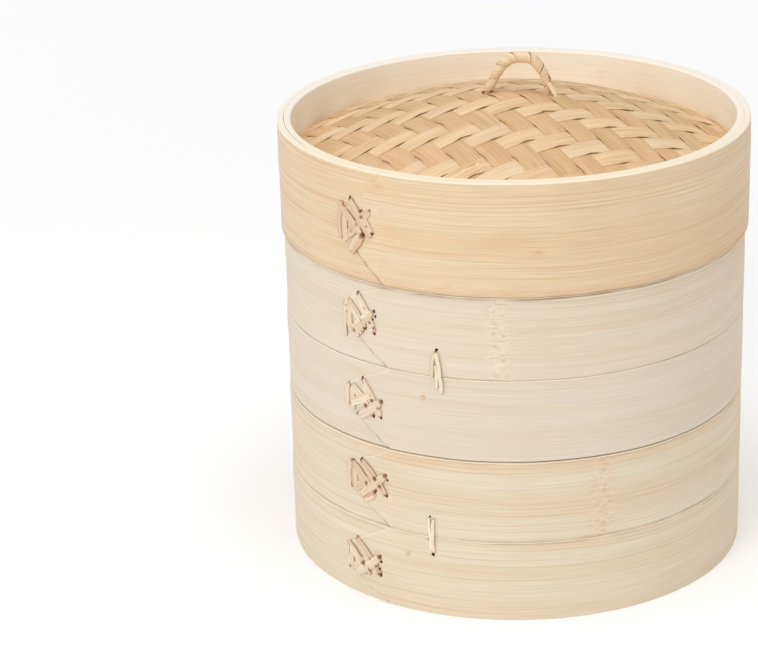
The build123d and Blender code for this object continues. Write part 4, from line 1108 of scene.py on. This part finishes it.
def tube_grid(b, pts, r, seed, sides=12, tone=0.4):
    T = np.gradient(pts, axis=0)
    T /= np.linalg.norm(T, axis=1, keepdims=True)
    ref = np.array([0.12, 1.0, 0.07])
    N = np.cross(T, ref)
    N /= np.linalg.norm(N, axis=1, keepdims=True)
    Bn = np.cross(T, N)
    a = np.linspace(0, 2 * math.pi, sides, endpoint=False)
    r = np.broadcast_to(np.asarray(r, float), (len(pts),))
    P = pts[:, None, :] + r[:, None, None] * (np.cos(a)[None, :, None] * N[:, None, :] + np.sin(a)[None, :, None] * Bn[:, None, :])
    s = np.concatenate([[0], np.cumsum(np.linalg.norm(np.diff(pts, axis=0), axis=1))])
    fib = np.zeros((len(pts), sides + 1, 2))
    fib[..., 0] = s[:, None] * MM + seed * 0.3
    fib[..., 1] = np.linspace(0, 2 * math.pi * 1.5, sides + 1)[None, :] * MM
    aux = np.zeros((len(pts), sides + 1, 2))
    aux[..., 0] = tone
    b.grid(P, fib, aux)


def top_zone(s):
    """Thicker over the top of the loop."""
    m = plen[-1] / 2
    return np.exp(-(np.abs(s - m) / (plen[-1] * 0.26)) ** 2.4)


# core, with an overhand knot at each end
b = Builder()
tube_grid(b, path3, 1.2 + 0.35 * top_zone(plen), 3)
for side, (x, z) in enumerate(((-11.2, 196.2), (15.2, 196.2))):
    th = np.linspace(0, 2 * math.pi, 70)
    kx = np.sin(th) + 2 * np.sin(2 * th)
    ky = np.cos(th) - 2 * np.cos(2 * th)
    kz = -np.sin(3 * th)
    pts = np.stack([x + kx * 0.62, HY + ky * 0.62, z - 1.4 + kz * 0.75], -1)
    tube_grid(b, pts, 0.95, 5 + side, tone=0.6)
piece("lid_handle_core", b.mesh("lid_handle_core", 60), "lid", ["lid_handle_core"], "rattan", M["handle"])

# wrap: a flat strip wound round the core, each turn lapping the one before
b = Builder()
s_start, s_end = 3.6, plen[-1] - 5.4
pitch, width = 6.6, 6.9
turns = (s_end - s_start - width) / pitch
nth = int(turns * 34)
th = np.linspace(0, turns * 2 * math.pi, nth)
sx, sy = section(16, 0.5)
P = np.zeros((nth, 16, 3))
gw = np.random.default_rng(5)
for i, t_ in enumerate(th):
    tt = t_ / (2 * math.pi)
    f = sx
    wv = width * (1 + 0.05 * math.sin(tt * 5.1))
    s = s_start + width / 2 + pitch * tt + f * wv / 2
    p, T, N, Bn = along_path(s)
    core = 1.2 + 0.68 * top_zone(s) + 0.8 * np.exp(-((s - 4.6) / 4.2) ** 2)
    rho = core + 0.42 + 0.17 * f * -1 + sy * 0.2 + 0.06 * math.sin(tt * 7.3 + 1)
    ang = t_ + f * 0.1
    P[i] = p + (rho * np.cos(ang))[:, None] * N + (rho * np.sin(ang))[:, None] * Bn
fib = np.zeros((nth, 17, 2))
fib[..., 0] = (th * 2.0)[:, None] * MM
fib[..., 1] = np.append(sx, sx[0])[None, :] * width / 2 * MM + 5.0
aux = np.zeros((nth, 17, 2))
aux[..., 0] = 0.5 + 0.4 * np.sin(th * 0.5)[:, None]
mark = np.zeros((nth, 17, 2))
# painted shade along the wrap's edges
mark[..., 1] = np.append((np.abs(sx) > 0.9) * 0.45, 0)[None, :]
# two small dark dots on the wrap, and painted shadow at the left foot
for (px, py, pz, pr, pk) in ((10.6, HY - 1.6, 219.6, 0.9, 0.9), (15.9, HY - 1.2, 210.9, 0.9, 0.9), (-9.6, HY - 2.0, 199.6, 1.3, 0.4)):
    far = np.linalg.norm(P - np.array([px, py, pz]), axis=2) / pr
    aux[:, :16, 1] = np.maximum(aux[:, :16, 1], pk * np.exp(-far ** 2))
aux[:, 16, 1] = aux[:, 0, 1]
b.grid(P, fib, aux, mark)
# the strip's loose tail at the right foot
tail = catmull(np.array([(15.4, HY - 1.6, 208.4), (16.3, HY - 2.3, 206.9), (17.3, HY - 3.0, 205.2), (18.4, HY - 3.6, 203.3), (19.0, HY - 4.0, 201.4)]), 8)
T = np.gradient(tail, axis=0)
T /= np.linalg.norm(T, axis=1, keepdims=True)
out = np.array([0.45, -0.8, 0.35])
side_ = np.cross(T, out)
side_ /= np.linalg.norm(side_, axis=1, keepdims=True)
outn = np.cross(side_, T)
wl = np.linspace(2.3, 1.3, len(tail))
P = tail[:, None, :] + side_[:, None, :] * (sx[None, :] * wl[:, None] / 2)[..., None] + outn[:, None, :] * (sy * 0.22)[None, :, None]
fib = np.zeros((len(tail), 17, 2))
fib[..., 0] = np.linspace(0, 9, len(tail))[:, None] * MM + 2
fib[..., 1] = np.append(sx, sx[0])[None, :] * MM
aux = np.full((len(tail), 17, 2), 0.0)
aux[..., 0] = 0.6
b.grid(P, fib, aux)
piece("lid_handle_wrap", b.mesh("lid_handle_wrap", 55), "lid", ["lid_handle_wrap"], "rattan", M["handle"])

# ---------------------------------------------------------------- CAD nodes that stay
for node, mat in (("lid_pegs", "lid_peg"), ("lower_tier_pegs", "peg"), ("upper_tier_pegs", "peg"), ("lid_leaf_layer", "leaf")):
    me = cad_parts[node].data
    if not me.materials:
        me.materials.append(M[mat])
    for i in range(len(me.materials)):
        me.materials[i] = M[mat]

# ---------------------------------------------------------------- floor, light, camera
m = Nodes("floor_mat")
grain = m.noise(m.obj(), scale=3.0, detail=2)
m.put(m.bsdf.inputs["Base Color"], m.mix(grain, (0.93, 0.93, 0.93, 1), (0.95, 0.95, 0.95, 1)))
m.bsdf.inputs["Roughness"].default_value = 0.85
m.bsdf.inputs["Specular IOR Level"].default_value = 0.1
# the floor glows, weaker near the steamer: painted light that keeps the floor white and lights the steamer from below
away = m.new("ShaderNodeVectorMath")
away.operation = "LENGTH"
m.put(away.inputs[0], m.obj())
m.put(m.bsdf.inputs["Emission Color"], m.mix(m.span(away.outputs["Value"], 0.3, 1.6), (0.45, 0.45, 0.45, 1), (1, 1, 1, 1)))
m.bsdf.inputs["Emission Strength"].default_value = 0.3
fme = bpy.data.meshes.new("floor")
fme.from_pydata([(-12, -12, 0), (12, -12, 0), (12, 12, 0), (-12, 12, 0)], [], [(0, 1, 2, 3)])
fme.materials.append(m.mat)
floor = bpy.data.objects.new("floor", fme)
bpy.context.scene.collection.objects.link(floor)

world = bpy.data.worlds.new("studio")
bpy.context.scene.world = world
world.use_nodes = True
bg = world.node_tree.nodes["Background"]
bg.inputs[0].default_value = (1.0, 1.0, 1.0, 1.0)
bg.inputs[1].default_value = 0.48


def area(name, loc, target, size, power, color=(1, 1, 1)):
    d = bpy.data.lights.new(name, "AREA")
    d.shape = "RECTANGLE"
    d.size, d.size_y = size
    d.energy = power
    d.color = color
    o = bpy.data.objects.new(name, d)
    o.location = loc
    o.rotation_mode = "QUATERNION"
    o.rotation_quaternion = (Vector(loc) - Vector(target)).to_track_quat("Z", "Y")
    bpy.context.scene.collection.objects.link(o)
    return o


area("key", (-1.1, -1.95, 1.35), (0, 0, 0.12), (1.0, 0.8), 15.2, (1.0, 0.985, 0.965))
area("top", (0.05, -0.3, 2.3), (0, 0, 0.1), (1.6, 1.6), 23.6)
# weak cool light from the left, as from a bright thing that stands there
area("side", (-1.7, -0.55, 0.5), (0, 0, 0.09), (1.0, 0.9), 2.1, (0.62, 0.76, 1.0))

# camera at the photograph's angle
F, EL, D, CX0, CY0, ROLL = 2786.0, 20.68, 1.245, 514.3, 306.8, -0.41
el, roll = math.radians(EL), math.radians(ROLL)
fwd, right = Vector((0, math.cos(el), -math.sin(el))), Vector((1, 0, 0))
up = right.cross(fwd)
C = Vector((0, 0, 0.105)) - fwd * D
ca = math.atan2(CX0 - 379, F)
r2, f2 = right * math.cos(ca) + fwd * math.sin(ca), fwd * math.cos(ca) - right * math.sin(ca)
cb = math.atan2(CY0 - 335, F / math.cos(ca))
f3, up2 = f2 * math.cos(cb) + up * math.sin(cb), up * math.cos(cb) - f2 * math.sin(cb)
X = r2 * math.cos(roll) + up2 * math.sin(roll)
Y = up2 * math.cos(roll) - r2 * math.sin(roll)
cam_data = bpy.data.cameras.new("camera")
cam_data.sensor_fit = "HORIZONTAL"
cam_data.sensor_width = 36.0
cam_data.lens = F / 758 * 36.0
cam_data.clip_start, cam_data.clip_end = 0.05, 60
cam = bpy.data.objects.new("camera", cam_data)
rot = Matrix((X, Y, -f3)).transposed()
cam.matrix_world = Matrix.Translation(C) @ rot.to_4x4()
bpy.context.scene.collection.objects.link(cam)
bpy.context.scene.camera = cam
bpy.context.scene.view_settings.view_transform = "Standard"
bpy.context.scene.view_settings.look = "None"
